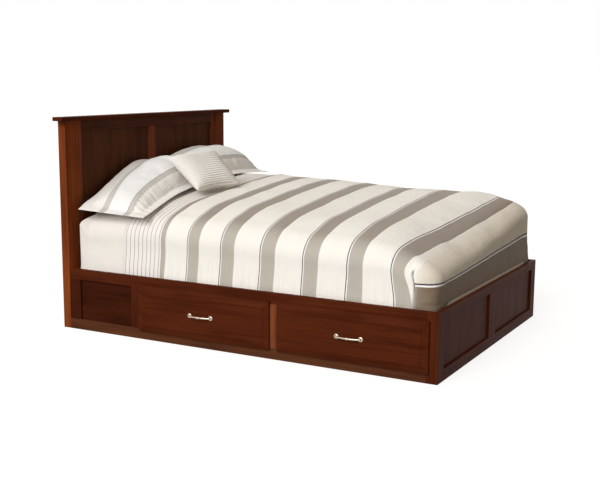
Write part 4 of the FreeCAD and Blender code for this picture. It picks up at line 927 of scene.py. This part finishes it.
# Pillow shams: along each from its outer to its inner end, place, front height, back height,
# crown and belly, as parts of the sizes below
SHAMS = {
    "left": {
        "turn": -1, "front": 0.546, "skew": 0.110, "front_z": (0.652, 0.772),
        "back_z": (0.668, 0.897), "back_lead": 0.033, "rise": 0.082, "seed": 2.6,
        "rows": ((0.0, 0.0, 0.0, 0.16, 0.05), (0.1, 0.12, 0.14, 0.62, 0.25),
                 (0.27, 0.38, 0.33, 0.90, 0.8), (0.5, 0.68, 0.7, 0.96, 1.0),
                 (0.75, 0.86, 1.0, 1.06, 1.0), (0.94, 0.97, 0.97, 0.85, 0.7),
                 (1.0, 1.0, 0.9, 0.16, 0.16))},
    "right": {
        "turn": 1, "front": 0.413, "skew": -0.018, "front_z": (0.770, 0.790),
        "back_z": (0.770, 0.945), "back_lead": 0.0, "rise": 0.072, "seed": 7.9,
        "rows": ((0.0, 0.0, 0.0, 0.16, 0.05), (0.08, 0.3, 0.5, 0.7, 0.3),
                 (0.25, 0.62, 0.93, 0.95, 0.95), (0.45, 0.85, 1.0, 1.0, 1.0),
                 (0.72, 0.95, 0.86, 1.0, 1.0), (0.93, 1.0, 0.66, 0.7, 0.7),
                 (1.0, 1.0, 0.6, 0.16, 0.16))},
}
SHAM_OUTER = 0.772
SHAM_INNER = 0.009
SHAM_BACK = HEAD_FACE - 0.067
SHAM_DROP = 0.100
FLANGE = 0.048
PLEATS = 105                  # turns the place along a sham into the swing of its flange pleats


def two_sided(top, belly):
    """Points and faces of a pillow from its top and belly grids, which share their rim."""
    deep, wide = top.shape[:2]
    index = np.arange(deep * wide).reshape(deep, wide)
    under = index.copy()
    inside = np.zeros((deep, wide), bool)
    inside[1:-1, 1:-1] = True
    under[inside] = deep * wide + np.arange(inside.sum())
    points = np.concatenate([top.reshape(-1, 3), belly[inside]])
    faces = []
    for i in range(deep - 1):
        for j in range(wide - 1):
            faces.append((index[i, j], index[i, j + 1], index[i + 1, j + 1], index[i + 1, j]))
            faces.append((under[i, j], under[i + 1, j], under[i + 1, j + 1], under[i, j + 1]))
    return points, [tuple(int(v) for v in f) for f in faces], inside


def faced_out(thing):
    """Its faces turned outwards."""
    work = bmesh.new()
    work.from_mesh(thing.data)
    bmesh.ops.recalc_face_normals(work, faces=work.faces)
    work.to_mesh(thing.data)
    work.free()
    return thing


def bed_under(x, y):
    """Height of what lies on the bed there: comforter, blanket or sheet."""
    top = crown(x, y)
    below = np.where(y > BLANKET_HIGH.y, COVER_HIGH.z - MATTRESS_HIGH.z, COVER_HIGH.z - BLANKET_HIGH.z)
    return top - np.where(y < COVER_HIGH.y, 0, below)


def surface_tree(name):
    """A finished object's surface, to lay things on."""
    mesh = bpy.data.objects[name].data
    return BVHTree.FromPolygons([v.co[:] for v in mesh.vertices], [p.vertices[:] for p in mesh.polygons])


def puff(thing, pressure, reach, held, steps=20):
    """Blows the cover up as cloth: held points stay, and no point moves further than reach."""
    start = positions(thing.data)
    pins = thing.vertex_groups.new(name="held")
    for index, weight in enumerate(held):
        pins.add([index], float(weight), "REPLACE")
    cloth = thing.modifiers.new("cloth", "CLOTH")
    cloth.settings.use_pressure = True
    cloth.settings.uniform_pressure_force = pressure
    cloth.settings.effector_weights.gravity = 0
    cloth.settings.vertex_group_mass = "held"
    cloth.settings.quality = 5
    cloth.settings.tension_stiffness = 12
    cloth.settings.compression_stiffness = 12
    cloth.settings.bending_stiffness = 0.6
    cloth.collision_settings.use_collision = False
    cloth.point_cache.frame_start = 1
    cloth.point_cache.frame_end = steps
    scene = bpy.context.scene
    for step in range(1, steps + 1):
        scene.frame_set(step)
    graph = bpy.context.evaluated_depsgraph_get()
    ended = positions(thing.evaluated_get(graph).data)
    thing.modifiers.clear()
    thing.vertex_groups.clear()
    scene.frame_set(1)
    move = ended - start
    far = np.linalg.norm(move, axis=1)
    place_points(thing.data, start + move * np.minimum(1, reach / np.maximum(far, 1e-9))[:, None])


SHAM_WIDE, SHAM_DEEP = 86, 60
END_ROUND, INNER_ROUND = 0.12, 0.09     # how far the bulge takes to rise at each end
FULLNESS = 0.72               # how square the bulge is from front to back: 1 is a parabola
HALF_SEAM = 0.0022            # half the thickness of the flange


def sham_grid(spec, wide, deep):
    """Top and belly of a sham, front to back and outer to inner end, and how far down it each is."""
    u = np.linspace(0, 1, wide)[None, :] * np.ones((deep, 1))
    v = np.linspace(0, 1, deep)[:, None] * np.ones((1, wide))
    place, front, back, crown_share, belly_share = zip(*spec["rows"])
    x = spec["turn"] * (SHAM_OUTER + (SHAM_INNER - SHAM_OUTER) * u)
    front_y = HEAD_FACE - spec["front"] + spec["skew"] * u
    front_z = spec["front_z"][0] + (spec["front_z"][1] - spec["front_z"][0]) * through(place, front, u)
    back_z = spec["back_z"][0] + (spec["back_z"][1] - spec["back_z"][0]) * through(place, back, u)
    run, climb = SHAM_BACK - spec["back_lead"] * (1 - u) ** 3 - front_y, back_z - front_z
    chord = np.hypot(run, climb)
    normal_y, normal_z = -climb / chord, run / chord
    flat = FLANGE / chord
    inner = np.clip((v - flat) / (1 - 2 * flat), 0, 1)
    end = np.clip((u * (SHAM_OUTER - SHAM_INNER) - FLANGE) / END_ROUND, 0, 1)
    far = np.clip(((1 - u) * (SHAM_OUTER - SHAM_INNER) - 0.01) / INNER_ROUND, 0, 1)
    ends = np.sqrt(end * (2 - end)) * np.sqrt(far * (2 - far))
    bulge = (4 * inner * (1 - inner)) ** FULLNESS * ends
    rise = spec["rise"] * through(place, crown_share, u) * bulge + HALF_SEAM
    drop = SHAM_DROP * through(place, belly_share, u) * bulge + HALF_SEAM
    base_y, base_z = front_y + run * v, front_z + climb * v
    rim = np.minimum.reduce([u, 1 - u, v, 1 - v]) > 1e-9
    top = np.stack([x, base_y + normal_y * rise * rim, base_z + normal_z * rise * rim], -1)
    belly = np.stack([x, base_y - normal_y * drop * rim, base_z - normal_z * drop * rim], -1)
    seam = np.minimum.reduce([v * chord, u * (SHAM_OUTER - SHAM_INNER)])
    band = 1 - v
    band += 0.15 * smooth(0.05, 0.5, u) * smooth(0.65, 0.30, band)
    band += 0.045 * smooth(0.02, 0.35, u) * smooth(0.45, 0.75, band) * smooth(1.0, 0.9, band)
    return top, belly, band, u, seam, rim


def banded_sham():
    """Cotton sham: matt cream, with a grey band, a white one, a grey one with a scalloped edge
    and a plain flange, all in bands across the bed."""
    cloth = bpy.context.scene.bed_bedding
    material, tree, shader = new_finish("banded_cotton_sham", **CLOTH)
    place = add(tree, "ShaderNodeAttribute", attribute_name="cloth").outputs["Vector"]
    woven(tree, shader, place, cloth.thread_pitch, FINE_THREAD, 0.05, 0.5)
    across, down, _ = add(tree, "ShaderNodeSeparateXYZ", {0: place}).outputs
    wave = add(tree, "ShaderNodeMath", {0: across, 1: math.pi / 0.030}, operation="MULTIPLY")
    swing = add(tree, "ShaderNodeMath", {0: wave.outputs[0]}, operation="SINE")
    arch = add(tree, "ShaderNodeMath", {0: swing.outputs[0]}, operation="ABSOLUTE")
    band = add(tree, "ShaderNodeAttribute", attribute_name="band").outputs["Fac"]
    scallop = add(tree, "ShaderNodeMath", {0: arch.outputs[0], 1: -0.020, 2: band}, operation="MULTIPLY_ADD")
    front = add(tree, "ShaderNodeMath", {0: band, 1: 0.72}, operation="GREATER_THAN")
    edge = add(tree, "ShaderNodeMix", {0: front.outputs[0], 2: band, 3: scallop.outputs[0]})
    tone = add(tree, "ShaderNodeValToRGB", {"Fac": edge.outputs[0]}, stops=(
        "CONSTANT", ((0.0, cloth.sham_cream), (0.32, cloth.sham_grey), (0.41, cloth.sham_white),
                     (0.69, cloth.sham_line), (0.698, cloth.sham_grey), (0.755, cloth.sham_cream))))
    tree.links.new(tone.outputs["Color"], shader.inputs["Base Color"])
    return material


SHAM_GAP = 0.0006             # between a sham and what it lies on
SHAM_CLOTH = 0.004            # and its upper cloth stays this much higher


class BED_OT_shams(bpy.types.Operator):
    """Makes the two pillows in their shams"""
    bl_idname = "bed.shams"
    bl_label = "Pillow shams"

    def execute(self, context):
        finish = banded_sham()
        for side, spec in SHAMS.items():
            top, belly, band, u, seam, rim = sham_grid(spec, SHAM_WIDE, SHAM_DEEP)
            points, faces, inside = two_sided(top, belly)

            def both(grid):
                return np.concatenate([grid.ravel(), grid[inside]])

            held = np.concatenate([np.where(rim, 0.0, 1.0).ravel(), np.full(inside.sum(), 1.0)])
            flange = both(smooth(FLANGE + 0.006, FLANGE - 0.004, seam))
            held = np.maximum(held, flange)
            thing = faced_out(new_mesh("sham_" + side + "_cover", points, faces, finish))
            puff(thing, 4, 0.006, held)
            points = positions(thing.data)
            out = positions(thing.data, "normal")
            is_top = np.arange(len(points)) < top.shape[0] * top.shape[1]
            near_seam = np.exp(-np.abs(both(seam) - FLANGE - 0.02) / 0.03)
            gather = np.sin(both(u) * 150 + 4 * ripple(points, (0.1, 0.1, 0.1), spec["seed"]))
            lift = 0.0030 * ripple(points, (0.13, 0.09, 0.10), spec["seed"])
            lift += 0.0026 * ripple(points, (0.06, 0.05, 0.05), spec["seed"] + 4)
            lift += 0.0011 * gather * near_seam
            pleat = np.sin(both(u) * PLEATS + 3 * ripple(points, (0.2, 0.2, 0.2), spec["seed"]))
            at_front = both(smooth(0.75, 0.85, band) * smooth(0.62, 0.10, u) * smooth(0.0, 0.02, seam))
            points = points + out * (lift * is_top * (1 - flange) + 0.0014 * pleat * at_front)[:, None]
            floor = bed_under(points[:, 0], points[:, 1]) + SHAM_GAP
            points[:, 2] = np.maximum(points[:, 2], floor + SHAM_CLOTH * is_top)
            place_points(thing.data, points)
            note(thing.data, "band", both(band))
            note(thing.data, "cloth", points, "FLOAT_VECTOR")
            finer = thing.modifiers.new("finer", "SUBSURF")
            finer.levels = finer.render_levels = 1
            baked(thing)
            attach(thing, "bed_frame")
            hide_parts("sham_" + side)
        return {"FINISHED"}


# The cushion, and how it lies
CUSHION_SIDE = 0.312
CUSHION_THICKNESS = 0.112
CUSHION_DRAW = 0.016
TUCK_BEND = 0.667
CUSHION_GRID = 84
PLUMP = 0.62                  # how square the cushion's section is: lower is squarer
RIB_HEIGHT = 0.0034
RIB_MIDDLE = 0.6              # part of a rib's height that lies on the plain cover
RIBS_END = 0.012              # the ribs fade out this near the seam
ON_SHAM = 0.002               # the cushion's cover lies this much above a sham's
SKY = 2.0                     # a height above everything
PRESSED = 0.012               # the cushion's cover bends within about this height
CUSHION_TAPER = 0.08          # its upper side looks longer than its lower one, which is pressed in
CUSHION_PLACE = Vector((-0.165, HEAD_FACE - 0.535, COVER_HIGH.z + 0.066))
CUSHION_TURN = (Matrix.Rotation(math.radians(-20), 4, "Z") @ Matrix.Rotation(math.radians(33), 4, "X")
                @ Matrix.Rotation(math.radians(-5), 4, "Y"))


def unrolled(share):
    """How far over the cushion's rounded face a share of its half side is."""
    part = np.clip(np.abs(share), 0, 1)
    sunk = CUSHION_THICKNESS / 2 * (1 - (1 - part ** 4) ** PLUMP)
    return np.sign(share) * (part * CUSHION_SIDE / 2 + 0.8 * sunk)


def pin_tucked():
    """Pin-tucked cotton: raised ribs of off-white cloth with painted shade in the tucks between them."""
    cloth = bpy.context.scene.bed_bedding
    material, tree, shader = new_finish("pin_tucked_cotton", **CLOTH)
    place = add(tree, "ShaderNodeAttribute", attribute_name="cloth").outputs["Vector"]
    woven(tree, shader, place, cloth.thread_pitch, FINE_THREAD, 0.04, 0.3)
    tuck = add(tree, "ShaderNodeAttribute", attribute_name="tuck").outputs["Fac"]
    # Painted shade: the lower the cloth in a tuck, the darker its colour
    tone = add(tree, "ShaderNodeValToRGB", {"Fac": tuck}, stops=(
        "LINEAR", ((0.0, cloth.tuck_shade), (0.55, cloth.tuck), (1.0, cloth.tuck))))
    tree.links.new(tone.outputs["Color"], shader.inputs["Base Color"])
    return material


class BED_OT_cushion(bpy.types.Operator):
    """Makes the small pin-tucked cushion that leans on the shams"""
    bl_idname = "bed.cushion"
    bl_label = "Cushion"

    def execute(self, context):
        cloth = context.scene.bed_bedding
        steps = np.linspace(-1, 1, CUSHION_GRID)
        b, a = np.meshgrid(steps, steps, indexing="ij")
        half = CUSHION_SIDE / 2
        x = a * (half - CUSHION_DRAW * (1 - b ** 2) * np.abs(a) ** 3) * (1 + CUSHION_TAPER * b)
        y = b * (half - CUSHION_DRAW * (1 - a ** 2) * np.abs(b) ** 3)
        full = CUSHION_THICKNESS / 2 * np.clip((1 - a ** 4) * (1 - b ** 4), 0, 1) ** PLUMP
        top = np.stack([x, y, full], -1)
        belly = np.stack([x, y, -full], -1)
        points, faces, inside = two_sided(top, belly)
        thing = faced_out(new_mesh("cushion_cover", points, faces, pin_tucked()))
        rim = np.concatenate([(full <= 1e-9).ravel(), np.zeros(inside.sum(), bool)])
        for name, grid in (("warp", a), ("weft", b)):
            note(thing.data, name, np.concatenate([grid.ravel(), grid[inside]]))
        puff(thing, 3, 0.008, np.where(rim, 1.0, 0.0))
        finer = thing.modifiers.new("finer", "SUBSURF")
        finer.levels = finer.render_levels = 1
        baked(thing)
        points = positions(thing.data)
        out = positions(thing.data, "normal")
        flat = points.copy()
        sway = 0.005 * ripple(flat, (0.07, 0.07, 0.07), 2.2)
        # The ribs bend at the ridge between its near lower and its far upper corner
        along, up = [unrolled(noted(thing.data, name)) for name in ("warp", "weft")]
        run = up + TUCK_BEND * np.maximum(up - along, 0) + sway
        height = np.abs(np.sin(math.pi * run / cloth.tuck_pitch))
        edge = smooth(half, half - RIBS_END, np.maximum(np.abs(flat[:, 0]), np.abs(flat[:, 1])))
        points = points + out * ((height - RIB_MIDDLE) * RIB_HEIGHT * edge)[:, None]
        points = np.array([CUSHION_PLACE + CUSHION_TURN @ Vector(p) for p in points])
        for side in SIDES:
            tree = surface_tree("sham_%s_cover" % side)
            for index, p in enumerate(points):
                hit = tree.ray_cast(Vector((p[0], p[1], SKY)), Vector((0, 0, -1)))[0]
                if hit is not None and p[2] < hit.z + ON_SHAM:
                    points[index, 2] = hit.z + ON_SHAM
        # Pressed softly on what it lies on
        floor = bed_under(points[:, 0], points[:, 1]) + 0.001
        gap = points[:, 2] - floor
        points[:, 2] = floor + (gap + np.sqrt(gap ** 2 + PRESSED ** 2)) / 2
        place_points(thing.data, points)
        note(thing.data, "tuck", height)
        note(thing.data, "cloth", flat, "FLOAT_VECTOR")
        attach(thing, "bed_frame")
        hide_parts("accent_cushion")
        return {"FINISHED"}


# Stitches

HEM_IN = 0.011                # the hem's stitches run this far from the comforter's head edge
HEM_WALL_LOW = 0.352          # and down to just above the frame on each side
HEM_ABOVE = 0.004             # the hem's path starts this far above the cloth
HEM_BESIDE = 0.002
HEM_STEPS = (160, 24, 30)     # points over the bed, round a shoulder and down a wall
FLANGE_ABOVE = 0.006


def stitch_tree(cloth, finish):
    """Nodes that lay stitches along every path of a mesh of edges."""
    tree = bpy.data.node_groups.new("run_of_stitches", "GeometryNodeTree")
    tree.interface.new_socket("Path", in_out="INPUT", socket_type="NodeSocketGeometry")
    for name in ("Stitch length", "Pitch", "Thread width"):
        tree.interface.new_socket(name, in_out="INPUT", socket_type="NodeSocketFloat")
    tree.interface.new_socket("Seed", in_out="INPUT", socket_type="NodeSocketInt")
    tree.interface.new_socket("Stitches", in_out="OUTPUT", socket_type="NodeSocketGeometry")
    given = add(tree, "NodeGroupInput").outputs
    path = add(tree, "GeometryNodeMeshToCurve", {"Mesh": given["Path"]})
    spots = add(tree, "GeometryNodeCurveToPoints", {"Curve": path.outputs[0], "Length": given["Pitch"]},
                mode="LENGTH").outputs
    stitch = add(tree, "GeometryNodeMeshUVSphere", {"Segments": 6, "Rings": 4, "Radius": 0.5})
    vary = add(tree, "FunctionNodeRandomValue", {2: 0.9, 3: 1.05, "Seed": given["Seed"]}, data_type="FLOAT")
    reach = add(tree, "ShaderNodeMath", {0: given["Stitch length"], 1: vary.outputs[1]}, operation="MULTIPLY")
    size = add(tree, "ShaderNodeCombineXYZ", {0: given["Thread width"], 1: given["Thread width"],
                                              2: reach.outputs[0]})
    laid = add(tree, "GeometryNodeInstanceOnPoints", {
        "Points": spots["Points"], "Instance": stitch.outputs[0], "Rotation": spots["Rotation"],
        "Scale": size.outputs[0]})
    real = add(tree, "GeometryNodeRealizeInstances", {0: laid.outputs[0]})
    done = add(tree, "GeometryNodeSetMaterial", {"Geometry": real.outputs[0], "Material": finish})
    add(tree, "NodeGroupOutput", {0: done.outputs[0]})
    values = {"Stitch length": cloth.stitch_length, "Pitch": cloth.stitch_pitch,
              "Thread width": cloth.thread_width, "Seed": 7}
    return tree, values


def laid_on(surface, points, above):
    """The points brought down onto a surface, and a little out of it."""
    placed = []
    for point in points:
        spot, normal, _, _ = surface.find_nearest(Vector(point))
        away = Vector(point) - spot
        placed.append(spot + normal * (above if away.dot(normal) >= 0 else -above))
    return placed


def hem_path():
    """Points just outside the comforter, along its head edge from side to side."""
    y = COVER_HIGH.y - HEM_IN
    inner = COVER_HIGH.x - SHOULDER_SIDE
    xs = np.linspace(-inner, inner, HEM_STEPS[0])
    over = [(x, y, float(crown(x, y)) + HEM_ABOVE) for x in xs]
    path = []
    for side in (-1, 1):
        top = float(crown(side * inner, y))
        turn = np.linspace(0, math.pi / 2, HEM_STEPS[1])[1:]
        bend = [(side * (inner + (SHOULDER_SIDE - 0.008) * math.sin(a)), y,
                 top + HEM_ABOVE - SHOULDER_DROP * (1 - math.cos(a))) for a in turn]
        wall = [(side * (COVER_HIGH.x + HEM_BESIDE), y, z)
                for z in np.linspace(top - SHOULDER_DROP - 0.01, HEM_WALL_LOW, HEM_STEPS[2])]
        path.append(bend + wall)
    return path[0][::-1] + over + path[1]


def flange_path(spec):
    """Points just above a sham, along its flange at the outer end and the front."""
    top, _, _, u, _, _ = sham_grid(spec, SHAM_WIDE, SHAM_DEEP)
    chord = np.linalg.norm(top[-1] - top[0], axis=1)
    span = SHAM_OUTER - SHAM_INNER
    first = int(np.argmax(u[0] * span >= FLANGE))
    rows = [i for i in range(len(top) - 1, 0, -1) if i / (len(top) - 1) * chord[first] > FLANGE]
    end = [top[i, first] for i in rows[2:]]
    front = []
    for j in range(first + 1, top.shape[1] - 2):
        i = FLANGE / chord[j] * (len(top) - 1)
        low = int(i)
        front.append(top[low, j] * (1 - i + low) + top[low + 1, j] * (i - low))
    return [tuple(p + np.array((0, 0, FLANGE_ABOVE))) for p in end + front]


class BED_OT_stitches(bpy.types.Operator):
    """Sews the comforter's head hem and the flanges of the shams"""
    bl_idname = "bed.stitches"
    bl_label = "Stitches"

    def execute(self, context):
        cloth = context.scene.bed_bedding
        # Cotton sewing thread: matt off-white, a little darker than the cloth it holds
        material, tree, shader = new_finish("off_white_cotton_thread", **CLOTH)
        place = add(tree, "ShaderNodeTexCoord").outputs["Object"]
        twist = add(tree, "ShaderNodeTexNoise", {"Vector": place, "Scale": 900.0, "Detail": 2.0})
        low = [0.8 * value for value in cloth.thread[:3]] + [1.0]
        tone = add(tree, "ShaderNodeMix", {0: twist.outputs["Fac"], 6: low, 7: cloth.thread},
                   data_type="RGBA")
        tree.links.new(tone.outputs[2], shader.inputs["Base Color"])
        points, edges = [], []
        paths = [(surface_tree("comforter_striped"), hem_path())]
        for side, spec in SHAMS.items():
            paths.append((surface_tree("sham_%s_cover" % side), flange_path(spec)))
        for surface, path in paths:
            start = len(points)
            points += laid_on(surface, path, cloth.thread_width * 0.3)
            edges += [(i, i + 1) for i in range(start, len(points) - 1)]
        mesh = bpy.data.meshes.new("stitches")
        mesh.from_pydata(points, edges, [])
        thing = bpy.data.objects.new("stitches", mesh)
        context.collection.objects.link(thing)
        sewing = thing.modifiers.new("sewing", "NODES")
        sewing.node_group, values = stitch_tree(cloth, material)
        for item in sewing.node_group.interface.items_tree:
            if item.name in values:
                sewing[item.identifier] = values[item.name]
        baked(thing)
        thing.data.polygons.foreach_set("use_smooth", [True] * len(thing.data.polygons))
        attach(thing, "bed_frame")
        return {"FINISHED"}


# Studio

SOFT_FROM = (-0.60, 0.68, 0.42)         # the soft light is strongest from here
SOFT_LEAN = 0.92              # and this part stronger than its mean there, and weaker opposite
FLOOR_REACH = 40.0
FLOOR_GAP = 0.0005            # the floor lies this far under the bed
KEY_WAY = Vector((1.0, -0.05, -0.62))
KEY_SPREAD = math.radians(35)
SENSOR = 36


def seen_or_mirrored(tree, rays):
    """1 for rays of the camera and of reflections."""
    return add(tree, "ShaderNodeMath", {0: rays.outputs["Is Camera Ray"], 1: rays.outputs["Is Glossy Ray"]},
               operation="MAXIMUM")


class BED_OT_studio(bpy.types.Operator):
    """Sets the floor, the light and the camera"""
    bl_idname = "bed.studio"
    bl_label = "Studio"

    def execute(self, context):
        scene = context.scene
        studio = scene.bed_studio
        scene.view_settings.view_transform = "Standard"

        world = bpy.data.worlds.new("soft_light")
        scene.world = world
        world.use_nodes = True
        tree = world.node_tree
        tree.nodes.clear()
        rays = add(tree, "ShaderNodeLightPath")
        seen = seen_or_mirrored(tree, rays)
        clear = add(tree, "ShaderNodeMath", {0: seen.outputs[0], 1: rays.outputs["Is Transmission Ray"]},
                    operation="MAXIMUM")
        # The soft light leans: stronger from the near side and the head than from the foot
        way = add(tree, "ShaderNodeTexCoord").outputs["Generated"]
        lean = add(tree, "ShaderNodeVectorMath", {0: way, 1: Vector(SOFT_FROM).normalized()},
                   operation="DOT_PRODUCT")
        soft = add(tree, "ShaderNodeMapRange", {"Value": lean.outputs["Value"], "From Min": -1.0,
                                                "To Min": studio.sky * (1 - SOFT_LEAN),
                                                "To Max": studio.sky * (1 + SOFT_LEAN)})
        strength = add(tree, "ShaderNodeMix", {0: clear.outputs[0], 2: soft.outputs[0], 3: 1.0})
        warm = add(tree, "ShaderNodeMapRange", {"Value": lean.outputs["Value"], "From Min": 0.3,
                                                "From Max": -0.7})
        soft_tint = add(tree, "ShaderNodeMix", {0: warm.outputs[0], 6: studio.sky_tint, 7: studio.low_tint},
                        data_type="RGBA")
        tint = add(tree, "ShaderNodeMix", {0: clear.outputs[0], 6: soft_tint.outputs[2], 7: (1, 1, 1, 1)},
                   data_type="RGBA")
        back = add(tree, "ShaderNodeBackground", {"Color": tint.outputs[2], "Strength": strength.outputs[0]})
        add(tree, "ShaderNodeOutputWorld", {"Surface": back.outputs[0]})

        # Matt painted floor: even and pale, lifted to white where the camera sees it
        floor_finish = bpy.data.materials.new("matt_pale_floor")
        floor_finish.use_nodes = True
        tree = floor_finish.node_tree
        tree.nodes.clear()
        paint = add(tree, "ShaderNodeBsdfDiffuse", {"Color": studio.floor})
        rays = add(tree, "ShaderNodeLightPath")
        seen = seen_or_mirrored(tree, rays)
        lift = add(tree, "ShaderNodeMath", {0: seen.outputs[0], 1: studio.floor_lift}, operation="MULTIPLY")
        glow = add(tree, "ShaderNodeEmission", {"Color": (1, 1, 1, 1), "Strength": lift.outputs[0]})
        both = add(tree, "ShaderNodeAddShader", {0: paint.outputs[0], 1: glow.outputs[0]})
        add(tree, "ShaderNodeOutputMaterial", {"Surface": both.outputs[0]})
        corners = [(x * FLOOR_REACH, y * FLOOR_REACH, -FLOOR_GAP)
                   for x, y in ((-1, -1), (1, -1), (1, 1), (-1, 1))]
        ground = new_mesh("studio_floor", corners, [(0, 1, 2, 3)], floor_finish)

        lamp = bpy.data.lights.new("key", "SUN")
        lamp.energy = studio.key
        lamp.angle = KEY_SPREAD
        key = bpy.data.objects.new("key", lamp)
        key.rotation_euler = KEY_WAY.to_track_quat("-Z", "Y").to_euler()
        context.collection.objects.link(key)

        a, e, r = studio.azimuth, studio.elevation, studio.roll
        back = Vector((math.sin(a) * math.cos(e), -math.cos(a) * math.cos(e), math.sin(e)))
        right = Vector((0, 0, 1)).cross(back).normalized()
        up = back.cross(right)
        right, up = (right * math.cos(r) + up * math.sin(r), up * math.cos(r) - right * math.sin(r))
        eye = bpy.data.objects.new("camera", bpy.data.cameras.new("camera"))
        eye.data.lens = studio.lens
        eye.data.sensor_width = SENSOR
        eye.matrix_world = Matrix.Translation(studio.eye) @ Matrix((right, up, back)).transposed().to_4x4()
        context.collection.objects.link(eye)
        scene.camera = eye
        return {"FINISHED"}


OPERATORS = (BED_OT_studio, BED_OT_wood, BED_OT_inside, BED_OT_metal, BED_OT_mattress,
             BED_OT_blanket, BED_OT_comforter, BED_OT_shams, BED_OT_cushion,
             BED_OT_stitches)
GROUPS = {"bed_wood": WoodFinish, "bed_metal": MetalFinish, "bed_bedding": Bedding,
          "bed_studio": Studio}


class VIEW3D_PT_bed(bpy.types.Panel):
    """Lists what the bed is made of"""
    bl_label = "Storage bed"
    bl_space_type = "VIEW_3D"
    bl_region_type = "UI"
    bl_category = "Storage bed"

    def draw(self, context):
        for operator in OPERATORS:
            self.layout.operator(operator.bl_idname)


def register():
    for group in GROUPS.values():
        bpy.utils.register_class(group)
    for name, group in GROUPS.items():
        setattr(bpy.types.Scene, name, PointerProperty(type=group))
    for item in OPERATORS + (VIEW3D_PT_bed,):
        bpy.utils.register_class(item)


def unregister():
    for item in reversed(OPERATORS + (VIEW3D_PT_bed,)):
        bpy.utils.unregister_class(item)
    for name, group in GROUPS.items():
        delattr(bpy.types.Scene, name)
        bpy.utils.unregister_class(group)


def main():
    register()
    for operator in OPERATORS:
        family, name = operator.bl_idname.split(".")
        getattr(getattr(bpy.ops, family), name)()


if __name__ == "__main__":
    main()
